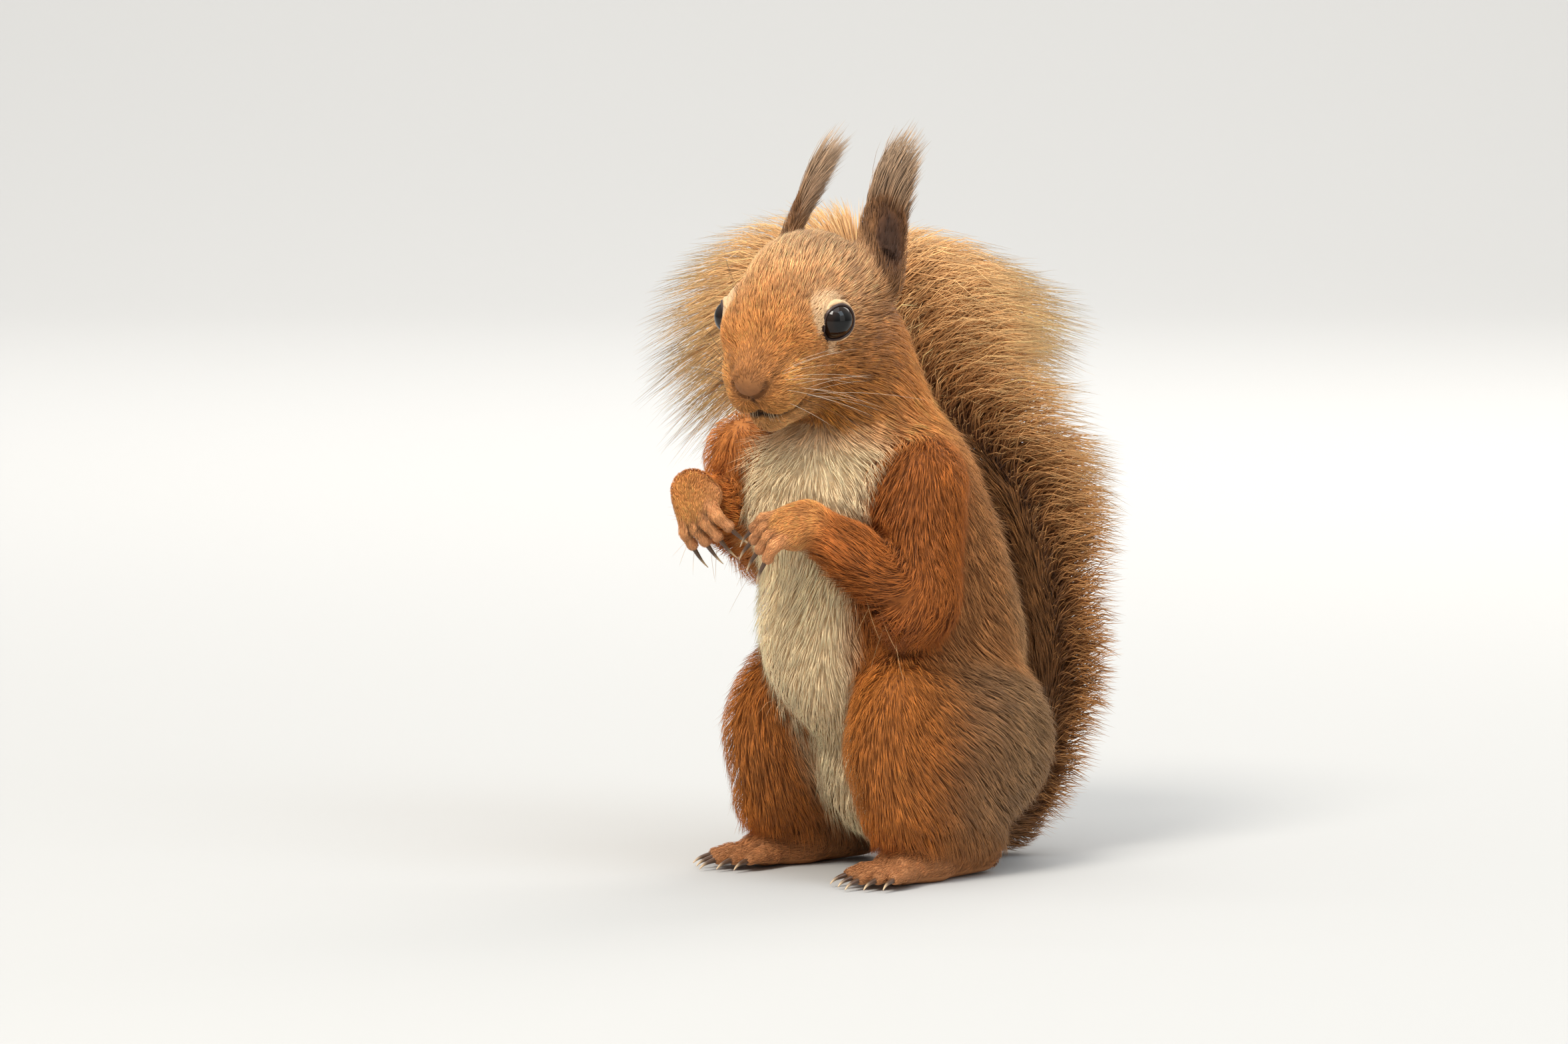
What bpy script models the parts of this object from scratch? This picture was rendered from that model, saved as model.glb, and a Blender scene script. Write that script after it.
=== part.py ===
"""A red squirrel sitting up with its forepaws before its chest, as a still, life-size model.

The animal faces -Y and its left side is +X. Its soles, rump and tail root rest on z = 0.
Flesh is a set of masses (balls and tapered bones) that one smooth surface wraps, out to the tips
of the coat. That surface is then parted by thin cuts into head, neck, trunk, limbs and tail.
Lengths in this file are millimetres, and each finished mesh is turned to metres.
"""
import math

import bmesh
import bpy
import numpy as np
from mathutils import Matrix, Vector

MM = 0.001
GAP = 0.3                       # clearance between neighbouring solids

# ---------------------------------------------------------------- driving dimensions
EYES = (3.0, -41.6, 146.5)      # midpoint between the eyes
HEAD_TURN = 20.0                # degrees that the head turns to its left
HEAD_NOD = 22.0                 # degrees that the muzzle points down
EYE_OUT = 14.5                  # eyeball centre, to each side of the head's middle
EYE_RADIUS = 5.0
EAR_ROOT = (15.5, -25.0, -3.0)  # to the side, forward and up from the middle of the head
EAR_RISE = (-0.13, -0.73, 0.67) # lie of the shell, the first value outwards
TUFT_SWEEP = (-0.05, -0.95, 0.33)
EAR_LENGTH, TUFT_LENGTH = 27.0, 17.0

SHOULDER = {"left": (19, -9, 103), "right": (-26, -26, 108)}
ELBOW = {"left": (28, -17, 73.5), "right": (-30, -17, 86)}
WRIST = {"left": (16.5, -44.7, 95), "right": (-19.6, -52.6, 101.5)}
HAND_AIM = {"left": (-0.60, -0.74, -0.30), "right": (0.52, -0.12, -0.85)}
HAND_THUMB = {"left": (-0.57, 0.44, 0.60), "right": (0.92, 0.25, 0.32)}
HEEL = {"left": (23, 10, 5.5), "right": (-23, 10, 5.5)}
TOE_OUT = 0.10                  # how far the feet turn out, per unit forward
FOOT_TOP = 9.0                  # level where the feet meet the legs
FINGER_TIP, TOE_TIP = 1.6, 2.0  # radii at the ends of the digits, coat included
FORE_CLAW = (5.2, 0.75, 0.32)   # length, radius at the root, drop of the point per length
HIND_CLAW = (4.0, 0.85, 0.30)

TAIL_ROUTE = [(0, 24, 14.5), (0, 44, 10.8), (0, 57, 38), (-2, 57, 70), (-9, 48, 99),
              (-30, 28, 124), (-41, 27.5, 141), (-49, 34, 152)]
TAIL_WIDTH = [(0.0, 10), (0.12, 13), (0.25, 22), (0.42, 26), (0.57, 36), (0.68, 46),
              (0.80, 55), (1.0, 49)]
TAIL_TWIST = 46.0               # degrees that the tail's flat side turns on the way up
TAIL_CUTS = {"tail_tip": 0.72, "tail_middle": 0.42, "tail_base": 0.14}
SIDES = {"left": 1, "right": -1}
TRIANGLES = {"body": 1760, "head": 1900, "tail": 900, "forepaw": 420, "foot": 340}


# ---------------------------------------------------------------- body masses
def ball(centre, radii, coat, soft=3.0, frame=None):
    """An ellipsoid of flesh; frame holds its own axes as columns."""
    axes = np.eye(3) if frame is None else np.array(frame, dtype=float)
    return {"start": np.array(centre, dtype=float), "radii": np.array(radii, dtype=float),
            "frame": axes, "coat": coat, "soft": soft, "end": None}


def bone(start, end, radius, end_radius, coat, soft=3.0):
    """A tapered length of flesh with round ends."""
    return {"start": np.array(start, dtype=float), "end": np.array(end, dtype=float),
            "radii": np.array((radius, end_radius), dtype=float), "coat": coat, "soft": soft}


def distance(mass, points, coat):
    """Distance from each point to one mass under its coat, and the direction away from it."""
    away = points - mass["start"]
    if mass["end"] is not None:
        axis = mass["end"] - mass["start"]
        along = np.clip(away @ axis / (axis @ axis), 0.0, 1.0)
        away = away - along[:, None] * axis
        length = np.linalg.norm(away, axis=1) + 1e-9
        radius = mass["radii"][0] + along * (mass["radii"][1] - mass["radii"][0])
        return length - radius - coat, away / length[:, None]
    radii = mass["radii"] + coat
    local = away @ mass["frame"]
    scaled = np.linalg.norm(local / radii, axis=1) + 1e-9
    slope = local / radii ** 2
    steep = np.linalg.norm(slope, axis=1) + 1e-9
    return scaled * (scaled - 1.0) / steep, (slope / steep[:, None]) @ mass["frame"].T


def wrap(points, masses, rounds):
    """Move points onto the smooth surface that wraps all the masses."""
    for _ in range(rounds):
        total = np.zeros(len(points))
        slope = np.zeros_like(points)
        for mass in masses:
            gap, away = distance(mass, points, mass["coat"])
            pull = np.exp(np.clip(-gap / mass["soft"], -40.0, 40.0))
            total += pull
            slope += (pull / mass["soft"])[:, None] * away
        slope /= total[:, None]
        steep = np.maximum((slope ** 2).sum(axis=1), 0.01)
        step = np.log(total) / steep
        step = np.clip(step * np.sqrt(steep), -2.0, 2.0) / np.sqrt(steep)
        points = points + step[:, None] * slope
    return points


def head_frame():
    """The head's axes as columns: left, back, up."""
    turn, nod = math.radians(HEAD_TURN), math.radians(HEAD_NOD)
    ahead = (math.sin(turn), -math.cos(turn))
    left = (math.cos(turn), math.sin(turn), 0.0)
    back = (-ahead[0] * math.cos(nod), -ahead[1] * math.cos(nod), math.sin(nod))
    up = (ahead[0] * math.sin(nod), ahead[1] * math.sin(nod), math.cos(nod))
    return np.array((left, back, up)).T


HEAD = head_frame()


def head_way(left, forward, up):
    """A direction given in the head's own terms."""
    return HEAD @ np.array((left, -forward, up), dtype=float)


def in_head(left, forward, up):
    """A place in the head, from the midpoint between the eyes."""
    return np.array(EYES) + head_way(left, forward, up)


def trunk_masses():
    """Pelvis, belly, ribs, shoulders, breast and neck."""
    return [ball((0, 9, 30), (22.5, 25, 22), 5.5, 4.0),
            ball((0, 7, 57), (23, 29, 26), 5.0, 4.0),
            ball((-1, -16, 66), (17.5, 20, 25), 5.0, 4.0),
            ball((0, 3, 78), (20.5, 26, 26), 5.5, 4.0),
            ball((0, -3, 100), (18.5, 21, 18), 5.5, 4.0),
            ball((-2, -22.5, 98), (16, 17.5, 19), 5.0, 4.0),
            bone((0, -7, 106), (-3, -15, 138), 16.5, 14.5, 4.5, 3.5)]


def leg_masses(side):
    """Thigh, knee and shank, folded beside the body."""
    sign = SIDES[side]
    return [ball((23.5 * sign, 0, 34), (10, 30, 21), 4.5, 3.0),
            ball((23.5 * sign, -17, 37), (8.5, 14, 19), 3.5, 2.5),
            bone((25 * sign, -20, 16), (23 * sign, 6, 12), 7.0, 6.0, 3.0, 2.5)]


def arm_masses(side):
    """Upper arm, elbow and forearm."""
    shoulder, elbow, wrist = SHOULDER[side], ELBOW[side], WRIST[side]
    return [bone(shoulder, elbow, 10.5, 8.0, 3.5, 2.5),
            bone(elbow, wrist, 7.8, 4.2, 2.2, 1.8)]


def head_masses():
    """Skull, brow, muzzle, jaws and cheeks."""
    masses = [ball(in_head(0, -14, -0.5), (15, 18.5, 15), 2.6, 2.0, HEAD),
              ball(in_head(0, -2, 0.5), (11.5, 12, 8), 1.2, 2.0, HEAD),
              bone(in_head(0, 1, -4), in_head(0, 18, -8.5), 9.2, 5.6, 0.8, 1.5),
              bone(in_head(0, -4, -18), in_head(0, 14, -18.5), 9.0, 4.3, 1.2, 1.5),
              ball(in_head(0, 21.0, -8), (3.0, 2.7, 2.6), 0.2, 0.6, HEAD)]
    for sign in SIDES.values():
        masses.append(ball(in_head(11.5 * sign, -9, -12), (5.5, 10, 9.5), 2.6, 2.5, HEAD))
        masses.append(ball(in_head(7.5 * sign, -11, -21.5), (7.5, 11, 9.5), 2.4, 2.5, HEAD))
        masses.append(ball(in_head(7.0 * sign, 8, -9.5), (5.5, 10, 6.5), 1.0, 1.5, HEAD))
        masses.append(ball(in_head(4.4 * sign, 15.5, -12.5), (4.4, 5.8, 4.4), 0.8, 1.0, HEAD))
        masses.append(ball(in_head(11.3 * sign, -1, 1), (4.4, 6.5, 6.0), 0.6, 1.2, HEAD))
    return masses


def ear_masses(side):
    """The shell of the ear and its long tuft, which sweeps back."""
    sign = SIDES[side]
    root = in_head(EAR_ROOT[0] * sign, *EAR_ROOT[1:])
    rise = head_way(EAR_RISE[0] * sign, *EAR_RISE[1:])
    rise /= np.linalg.norm(rise)
    sweep = head_way(TUFT_SWEEP[0] * sign, *TUFT_SWEEP[1:])
    tip = root + rise * EAR_LENGTH
    bend = tip + (rise + sweep) / 2 * TUFT_LENGTH * 0.45
    end = bend + sweep * TUFT_LENGTH * 0.6
    facing = head_way(0.80 * sign, 0.45, 0.30)
    across = np.cross(rise, facing)
    across /= np.linalg.norm(across)
    frame = np.array((across, np.cross(rise, across), rise)).T
    return [ball((root + tip) / 2, (6.2, 2.6, EAR_LENGTH / 2), 0.8, 0.8, frame),
            ball(root + rise * 4, (5.2, 4.2, 6.5), 1.0, 1.5, frame),
            bone(tip - rise * 5, bend, 3.6, 2.6, 0.6, 1.0),
            bone(bend, end, 2.6, 0.9, 0.3, 0.8)]


# ---------------------------------------------------------------- tail
def rachis(t):
    """Catmull-Rom curve along the core of the tail, for t from 0 at its root to 1 at its tip."""
    points = [np.array(p, dtype=float) for p in TAIL_ROUTE]
    points = [2 * points[0] - points[1]] + points + [2 * points[-1] - points[-2]]
    place = min(max(t, 0.0), 1.0) * (len(TAIL_ROUTE) - 1)
    index = min(int(place), len(TAIL_ROUTE) - 2)
    s = place - index
    a, b, c, d = points[index:index + 4]
    return 0.5 * (2 * b + (c - a) * s + (2 * a - 5 * b + 4 * c - d) * s ** 2
                  + (3 * b - a - 3 * c + d) * s ** 3)


def tail_frame(t):
    """The tail's own axes at t as columns: across its flat side, through it, along it."""
    along = rachis(min(t + 0.01, 1.0)) - rachis(max(t - 0.01, 0.0))
    along /= np.linalg.norm(along)
    ease = min(max((t - 0.3) / 0.45, 0.0), 1.0)
    twist = math.radians(TAIL_TWIST) * ease * ease * (3 - 2 * ease)
    across = np.array((math.cos(twist), math.sin(twist), 0.0))
    across -= along * (across @ along)
    across /= np.linalg.norm(across)
    return np.array((across, np.cross(along, across), along)).T


def tail_root():
    """The stump of the tail, which the rump carries."""
    return bone(TAIL_ROUTE[0], TAIL_ROUTE[1], 8.0, 7.0, 4.5, 3.0)


def tail_masses():
    """A flat brush: wide rounds of hair along the rachis, widest near the tip."""
    masses = [tail_root()]
    spots, widths = zip(*TAIL_WIDTH)
    for t in np.linspace(0.14, 0.92, 18):
        width = float(np.interp(t, spots, widths))
        through = 8.0 + 2.5 * t
        reach = 15.0 + 20.0 * max(t - 0.6, 0.0) / 0.34
        masses.append(ball(rachis(t), (width - 2, through, reach), 0.0, 2.5, tail_frame(t)))
    return masses


# ---------------------------------------------------------------- paws
def paw_frame(aim, thumb, sign):
    """Axes of a paw as columns: along, to the thumb's side, out of its back."""
    along = Vector(aim).normalized()
    side = Vector(thumb)
    side = (side - along * side.dot(along)).normalized()
    back = side.cross(along) * sign
    return np.array((along, side, back)).T


def digit(places, radii, coat):
    """The bones of one finger or toe through its joints."""
    pairs = zip(places[:-1], places[1:], radii[:-1], radii[1:])
    return [bone(start, end, first, last, coat, 0.45) for start, end, first, last in pairs]


def hand(side):
    """Masses of a forepaw, and the places of its claws."""
    axes = paw_frame(HAND_AIM[side], HAND_THUMB[side], SIDES[side])
    wrist = np.array(WRIST[side], dtype=float)

    def at(along, thumb, back):
        return wrist + axes @ np.array((along, thumb, back), dtype=float)

    masses = [bone(at(0.5, 0, 0), at(4, 0, 0), 4.6, 4.4, 0.9, 1.2),
              ball(at(5.0, 0, 0), (5.6, 5.6, 3.4), 0.8, 1.0, axes),
              ball(at(3.5, 4.9, -1.6), (2.4, 1.7, 1.8), 0.2, 0.6, axes)]
    claws = []
    for number in range(4):
        thumb = (1.5 - number) * 3.1
        reach = 1.0 - 0.13 * abs(number - 1.2)
        places = [at(7.0, thumb * 0.9, 0.4), at(7.0 + 4.4 * reach, thumb * 1.15, 0.5),
                  at(7.0 + 7.6 * reach, thumb * 1.3, -2.1)]
        masses += digit(places, (1.7, 1.5, 1.25), 0.35)
        tip = places[-1] - places[-2]
        claws.append((places[-1], tip / np.linalg.norm(tip), -axes[:, 2]))
    return masses, claws


def foot(side):
    """Masses of a hind foot laid flat, and the places of its claws."""
    sign = SIDES[side]
    heel = np.array(HEEL[side], dtype=float)
    ahead = np.array((TOE_OUT * sign, -1.0, 0.0)) / math.hypot(TOE_OUT, 1.0)
    out = np.array((sign * 1.0, TOE_OUT, 0.0)) / math.hypot(TOE_OUT, 1.0)

    def at(along, outward, up):
        return heel + ahead * along + out * outward + np.array((0.0, 0.0, up))

    masses = [bone(at(0, 0, 0), at(22, 0, -0.5), 5.0, 5.4, 0.6, 1.2),
              bone(at(20, -2.2, -1.2), at(34, -2.6, -1.6), 4.0, 3.4, 0.6, 1.0),
              bone(at(20, 2.4, -1.2), at(34, 2.8, -1.6), 4.0, 3.4, 0.6, 1.0)]
    claws = []
    for number in range(5):
        spread = (number - 2) * 3.0
        reach = 1.0 - 0.16 * abs(number - 2)
        places = [at(33, spread * 0.85, -2.4), at(33 + 7.5 * reach, spread * 1.15, -1.9),
                  at(33 + 13.5 * reach, spread * 1.3, -1.9 - 0.9 * reach)]
        masses += digit(places, (2.1, 1.8, 1.6), 0.4)
        tip = places[-1] - places[-2]
        claws.append((places[-1], tip / np.linalg.norm(tip), np.array((0.0, 0.0, -1.0))))
    return masses, claws


# ---------------------------------------------------------------- meshes
def new_object(name, mesh, collection):
    """Link a mesh as an object of the given collection."""
    item = bpy.data.objects.new(name, mesh)
    collection.objects.link(item)
    return item


def apply_modifiers(item):
    """Turn an object's modifiers into its mesh."""
    graph = bpy.context.evaluated_depsgraph_get()
    mesh = bpy.data.meshes.new_from_object(item.evaluated_get(graph))
    item.modifiers.clear()
    item.data = mesh


def fused(name, masses, voxel, faces, collection):
    """One closed mesh that wraps all the masses, in about so many triangles."""
    shape = bmesh.new()
    for mass in masses:
        if mass["end"] is None:
            size = Matrix.Diagonal(Vector(mass["radii"] + mass["coat"])).to_4x4()
            place = Matrix.Translation(mass["start"]) @ Matrix(mass["frame"]).to_4x4()
            bmesh.ops.create_icosphere(shape, subdivisions=4, radius=1.0, matrix=place @ size)
            continue
        for t in np.linspace(0.0, 1.0, 6):
            centre = mass["start"] * (1 - t) + mass["end"] * t
            radius = mass["radii"][0] * (1 - t) + mass["radii"][1] * t + mass["coat"]
            bmesh.ops.create_icosphere(shape, subdivisions=3, radius=radius,
                                       matrix=Matrix.Translation(centre))
    mesh = bpy.data.meshes.new(name)
    shape.to_mesh(mesh)
    shape.free()
    item = new_object(name, mesh, collection)
    remesh = item.modifiers.new("fuse", "REMESH")
    remesh.mode = "VOXEL"
    remesh.voxel_size = voxel
    smooth = item.modifiers.new("smooth", "SMOOTH")
    smooth.iterations = 4
    apply_modifiers(item)
    points = np.empty(len(item.data.vertices) * 3, dtype=np.float32)
    item.data.vertices.foreach_get("co", points)
    points = wrap(points.reshape(-1, 3).astype(float), masses, 6)
    item.data.vertices.foreach_set("co", points.ravel())
    item.data.update()
    smooth = item.modifiers.new("relax", "SMOOTH")
    smooth.iterations = 1
    thin = item.modifiers.new("thin", "DECIMATE")
    triangles = sum(len(face.vertices) - 2 for face in item.data.polygons)
    thin.ratio = min(1.0, faces / triangles)
    thin.use_collapse_triangulate = True
    apply_modifiers(item)
    return item


def block(name, centre, size, frame, collection):
    """A box cutter; frame holds its axes as columns."""
    shape = bmesh.new()
    sides = Matrix.Diagonal(Vector(size)).to_4x4()
    place = Matrix.Translation(Vector(centre)) @ Matrix(frame).to_4x4()
    bmesh.ops.create_cube(shape, size=1.0, matrix=place @ sides)
    mesh = bpy.data.meshes.new(name)
    shape.to_mesh(mesh)
    shape.free()
    item = new_object(name, mesh, collection)
    item.hide_render = True
    item.display_type = "WIRE"
    return item


def cut(item, cutter, operation):
    """Apply one Boolean to an object; EXACT drops whole pieces of a fused mesh cut again."""
    step = item.modifiers.new("cut", "BOOLEAN")
    step.operation = operation
    step.solver = "MANIFOLD"
    step.object = cutter
    item.modifiers.new("triangles", "TRIANGULATE")
    apply_modifiers(item)


def carve(whole, name, region, parts, cutters):
    """Split off the piece of the whole inside a region, with a thin gap round it."""
    centre, size, frame = region
    piece = new_object(name, whole.data.copy(), parts)
    cut(piece, block(name + "_inner", centre, size, frame, cutters), "INTERSECT")
    grown = [length + 2 * GAP for length in size]
    cut(whole, block(name + "_outer", centre, grown, frame, cutters), "DIFFERENCE")
    return piece


def upright(axis, hint=(0.0, 0.0, 1.0)):
    """A frame whose third column is the axis."""
    along = Vector(axis).normalized()
    across = Vector(hint).cross(along)
    if across.length < 0.1:
        across = Vector((1.0, 0.0, 0.0)).cross(along)
    across.normalize()
    return np.array((across, along.cross(across), along)).T


def drop_crumbs(item):
    """Keep only the largest body of an object, without the crumbs that cuts leave."""
    shape = bmesh.new()
    shape.from_mesh(item.data)
    left = set(shape.verts)
    bodies = []
    while left:
        edge = [left.pop()]
        found = set(edge)
        while edge:
            near = {link.other_vert(vertex) for vertex in edge for link in vertex.link_edges}
            edge = list(near - found)
            found |= near
        left -= found
        bodies.append(found)
    bodies.sort(key=len)
    for crumb in bodies[:-1]:
        bmesh.ops.delete(shape, geom=list(crumb), context="VERTS")
    shape.to_mesh(item.data)
    shape.free()


def claw(name, joint, size, parts):
    """A curved, pointed claw that starts just off the end of its digit."""
    start, aim, down = joint
    length, radius, drop = size
    curve = bpy.data.curves.new(name, "CURVE")
    curve.dimensions = "3D"
    curve.bevel_depth = radius
    curve.bevel_resolution = 1
    curve.use_fill_caps = True
    line = curve.splines.new("POLY")
    line.points.add(3)
    for number, point in enumerate(line.points):
        t = number / 3
        place = start + aim * length * t + down * length * drop * t * t
        point.co = (*place, 1.0)
        point.radius = 1.0 - 0.72 * t
    item = new_object(name, curve, parts)
    graph = bpy.context.evaluated_depsgraph_get()
    mesh = bpy.data.meshes.new_from_object(item.evaluated_get(graph))
    bpy.data.objects.remove(item)
    shape = bmesh.new()
    shape.from_mesh(mesh)
    bmesh.ops.remove_doubles(shape, verts=shape.verts, dist=0.001)
    bmesh.ops.recalc_face_normals(shape, faces=shape.faces)
    shape.to_mesh(mesh)
    shape.free()
    new_object(name, mesh, parts)


def material(name, colour, roughness, metallic=0.0):
    """A plain Principled material."""
    surface = bpy.data.materials.new(name)
    surface.use_nodes = True
    shader = surface.node_tree.nodes["Principled BSDF"]
    shader.inputs["Base Color"].default_value = (*colour, 1.0)
    shader.inputs["Roughness"].default_value = roughness
    shader.inputs["Metallic"].default_value = metallic
    return surface


# ---------------------------------------------------------------- assembly
def beyond(t):
    """The region past the cut across the tail at t."""
    frame = tail_frame(t)
    return rachis(t) + frame[:, 2] * 75, (170, 150, 150), frame


def make_tail(body, parts, cutters):
    """The tail in three lengths, and the rump cut to meet it."""
    tail = fused("tail", tail_masses(), 1.7, TRIANGLES["tail"], parts)
    cut(tail, bpy.data.objects["floor"], "DIFFERENCE")
    for name, place in TAIL_CUTS.items():
        carve(tail, name, beyond(place), parts, cutters)
    bpy.data.objects.remove(tail)
    frame = tail_frame(TAIL_CUTS["tail_base"])
    centre = rachis(TAIL_CUTS["tail_base"]) + frame[:, 2] * 10
    bpy.data.objects.remove(carve(body, "stump", (centre, (50, 60, 20), frame), parts, cutters))


def part_limbs(body, side, parts, cutters):
    """Part one forearm, upper arm, shank and thigh from the body."""
    sign = SIDES[side]
    shoulder, elbow, wrist = (np.array(p[side], dtype=float) for p in (SHOULDER, ELBOW, WRIST))
    length = np.linalg.norm(wrist - elbow)
    frame = upright(wrist - elbow, (sign, 0, 0))
    centre = elbow + frame[:, 2] * (4 + length + 12) / 2
    carve(body, "forearm_" + side, (centre, (24, 24, length + 8), frame), parts, cutters)
    length = np.linalg.norm(elbow - shoulder)
    frame = upright(elbow - shoulder, (sign, 0, 0))
    outward = np.array((sign * 8.0, -1.0, 0.0))
    centre = shoulder + outward + frame[:, 2] * (length - 4.5) / 2
    carve(body, "upper_arm_" + side, (centre, (27, 27, length + 23.5), frame), parts, cutters)
    centre = (24.5 * sign, -20, 0)
    spare = carve(body, "footprint", (centre, (22, 84, 2 * FOOT_TOP), np.eye(3)), parts, cutters)
    bpy.data.objects.remove(spare)
    centre = (34 * sign, -28, 12)
    carve(body, "shank_" + side, (centre, (38, 42, 20), np.eye(3)), parts, cutters)
    centre = (44 * sign, -8, 31)
    carve(body, "thigh_" + side, (centre, (58, 84, 60), np.eye(3)), parts, cutters)


def make_hand(side, parts):
    """A forepaw, shaped to sit against its forearm, and its four claws."""
    masses, claws = hand(side)
    paw = fused("forepaw_" + side, masses, 0.5, TRIANGLES["forepaw"], parts)
    near = trunk_masses()[2:6] + arm_masses(side)
    sleeve = [dict(mass, coat=mass["coat"] + 2 * GAP) for mass in near]
    cutter = fused("sleeve", sleeve, 1.2, 1500, parts)
    cut(paw, cutter, "DIFFERENCE")
    bpy.data.objects.remove(cutter)
    for number, (place, aim, down) in enumerate(claws, 2):
        joint = (place + aim * (FINGER_TIP + GAP), aim, down)
        claw(f"claw_fore_{side}_{number}", joint, FORE_CLAW, parts)


def make_foot(side, parts, cutters):
    """A hind foot flat on the floor, and its five claws."""
    masses, claws = foot(side)
    paw = fused("hind_foot_" + side, masses, 0.7, TRIANGLES["foot"], parts)
    lid = block("instep_" + side, (*HEEL[side][:2], FOOT_TOP - GAP / 2 + 25), (80, 140, 50),
                np.eye(3), cutters)
    cut(paw, lid, "DIFFERENCE")
    cut(paw, bpy.data.objects["floor"], "DIFFERENCE")
    for number, (place, aim, down) in enumerate(claws, 1):
        joint = (place + aim * (TOE_TIP + GAP), aim, down)
        claw(f"claw_hind_{side}_{number}", joint, HIND_CLAW, parts)


def make_eye(head, side, parts, cutters):
    """An eyeball, set in a socket with a thin gap round it."""
    centre = in_head(EYE_OUT * SIDES[side], 0, 0)
    for name, radius, home in (("eye_" + side, EYE_RADIUS, parts),
                               ("socket_" + side, EYE_RADIUS + GAP, cutters)):
        shape = bmesh.new()
        bmesh.ops.create_uvsphere(shape, u_segments=14, v_segments=9, radius=radius,
                                   matrix=Matrix.Translation(Vector(centre)))
        mesh = bpy.data.meshes.new(name)
        shape.to_mesh(mesh)
        shape.free()
        ball_object = new_object(name, mesh, home)
    ball_object.hide_render = True
    ball_object.display_type = "WIRE"
    cut(head, ball_object, "DIFFERENCE")


def make_head(body, parts, cutters):
    """The head in finer triangles than the body, with its ears and eyes."""
    neck_up = upright(head_way(0, 0.35, 0.94))
    region = (in_head(0, -17, -18.5) + neck_up[:, 2] * 70, (140, 140, 140), neck_up)
    bpy.data.objects.remove(carve(body, "spare", region, parts, cutters))
    masses = head_masses() + trunk_masses()[3:]
    for side in SIDES:
        masses += ear_masses(side)
    fine = fused("fine", masses, 0.8, TRIANGLES["head"], parts)
    whole = carve(fine, "head", region, parts, cutters)
    bpy.data.objects.remove(fine)
    for side, sign in SIDES.items():
        root = in_head(EAR_ROOT[0] * sign, *EAR_ROOT[1:])
        rise = head_way(EAR_RISE[0] * sign, *EAR_RISE[1:])
        frame = upright(rise, (sign, 0, 0))
        centre = root + rise * 34
        carve(whole, "ear_" + side, (centre, (26, 26, 56), frame), parts, cutters)
    for side in SIDES:
        make_eye(whole, side, parts, cutters)


def paint(parts):
    """Give each node its own plain material."""
    coats = {"tail": (0.29, 0.15, 0.07), "claw": (0.05, 0.035, 0.025),
             "eye": (0.006, 0.005, 0.005), "ear": (0.20, 0.11, 0.06),
             "forepaw": (0.48, 0.22, 0.09), "trunk": (0.62, 0.46, 0.27)}
    for item in parts.objects:
        colour = coats.get(item.name.split("_")[0], (0.30, 0.125, 0.045))
        roughness = {"claw": 0.4, "eye": 0.05}.get(item.name.split("_")[0], 0.9)
        item.data.materials.clear()
        item.data.materials.append(material(item.name, colour, roughness))
        item.data.shade_smooth()


def settle(parts, cutters):
    """Turn millimetres to metres, with the origin on the floor below the middle of the box."""
    bpy.context.view_layer.update()
    corners = np.array([vertex.co for item in parts.objects for vertex in item.data.vertices])
    low, high = corners.min(axis=0), corners.max(axis=0)
    shift = Matrix.Translation((-(low[0] + high[0]) / 2, -(low[1] + high[1]) / 2, 0.0))
    for item in list(parts.objects) + list(cutters.objects):
        item.data.transform(Matrix.Scale(MM, 4) @ shift)


def build():
    """Make every node of the squirrel."""
    for item in list(bpy.data.objects):
        bpy.data.objects.remove(item, do_unlink=True)
    parts = bpy.data.collections.new("red_squirrel")
    cutters = bpy.data.collections.new("cutters")
    for collection in (parts, cutters):
        bpy.context.scene.collection.children.link(collection)
    floor = block("floor", (0, 0, -25), (400, 400, 50), np.eye(3), cutters)

    flesh = trunk_masses() + [tail_root()] + head_masses()
    for side in SIDES:
        flesh += leg_masses(side) + arm_masses(side)
    body = fused("trunk", flesh, 1.5, TRIANGLES["body"], parts)
    cut(body, floor, "DIFFERENCE")
    make_tail(body, parts, cutters)
    make_head(body, parts, cutters)
    carve(body, "neck", ((0, -12, 146), (64, 72, 60), np.eye(3)), parts, cutters)
    for side in SIDES:
        part_limbs(body, side, parts, cutters)
        make_hand(side, parts)
        make_foot(side, parts, cutters)
    for item in parts.objects:
        drop_crumbs(item)
    settle(parts, cutters)
    paint(parts)


build()
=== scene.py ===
"""A still, life-size red squirrel: skin, coat, eyes, lids, whiskers and claws.

The animal faces -Y and its left side is +X. The body is a set of masses (balls and tapered
bones), kept in millimetres from a point on the floor below the hips. One skin wraps them all,
and every tuft of the coat grows from that skin, bends over the body and ends at the coat's depth.
"""
import math

import bpy
import numpy as np
from mathutils import Matrix, Vector
from mathutils.bvhtree import BVHTree
from mathutils.kdtree import KDTree


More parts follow.
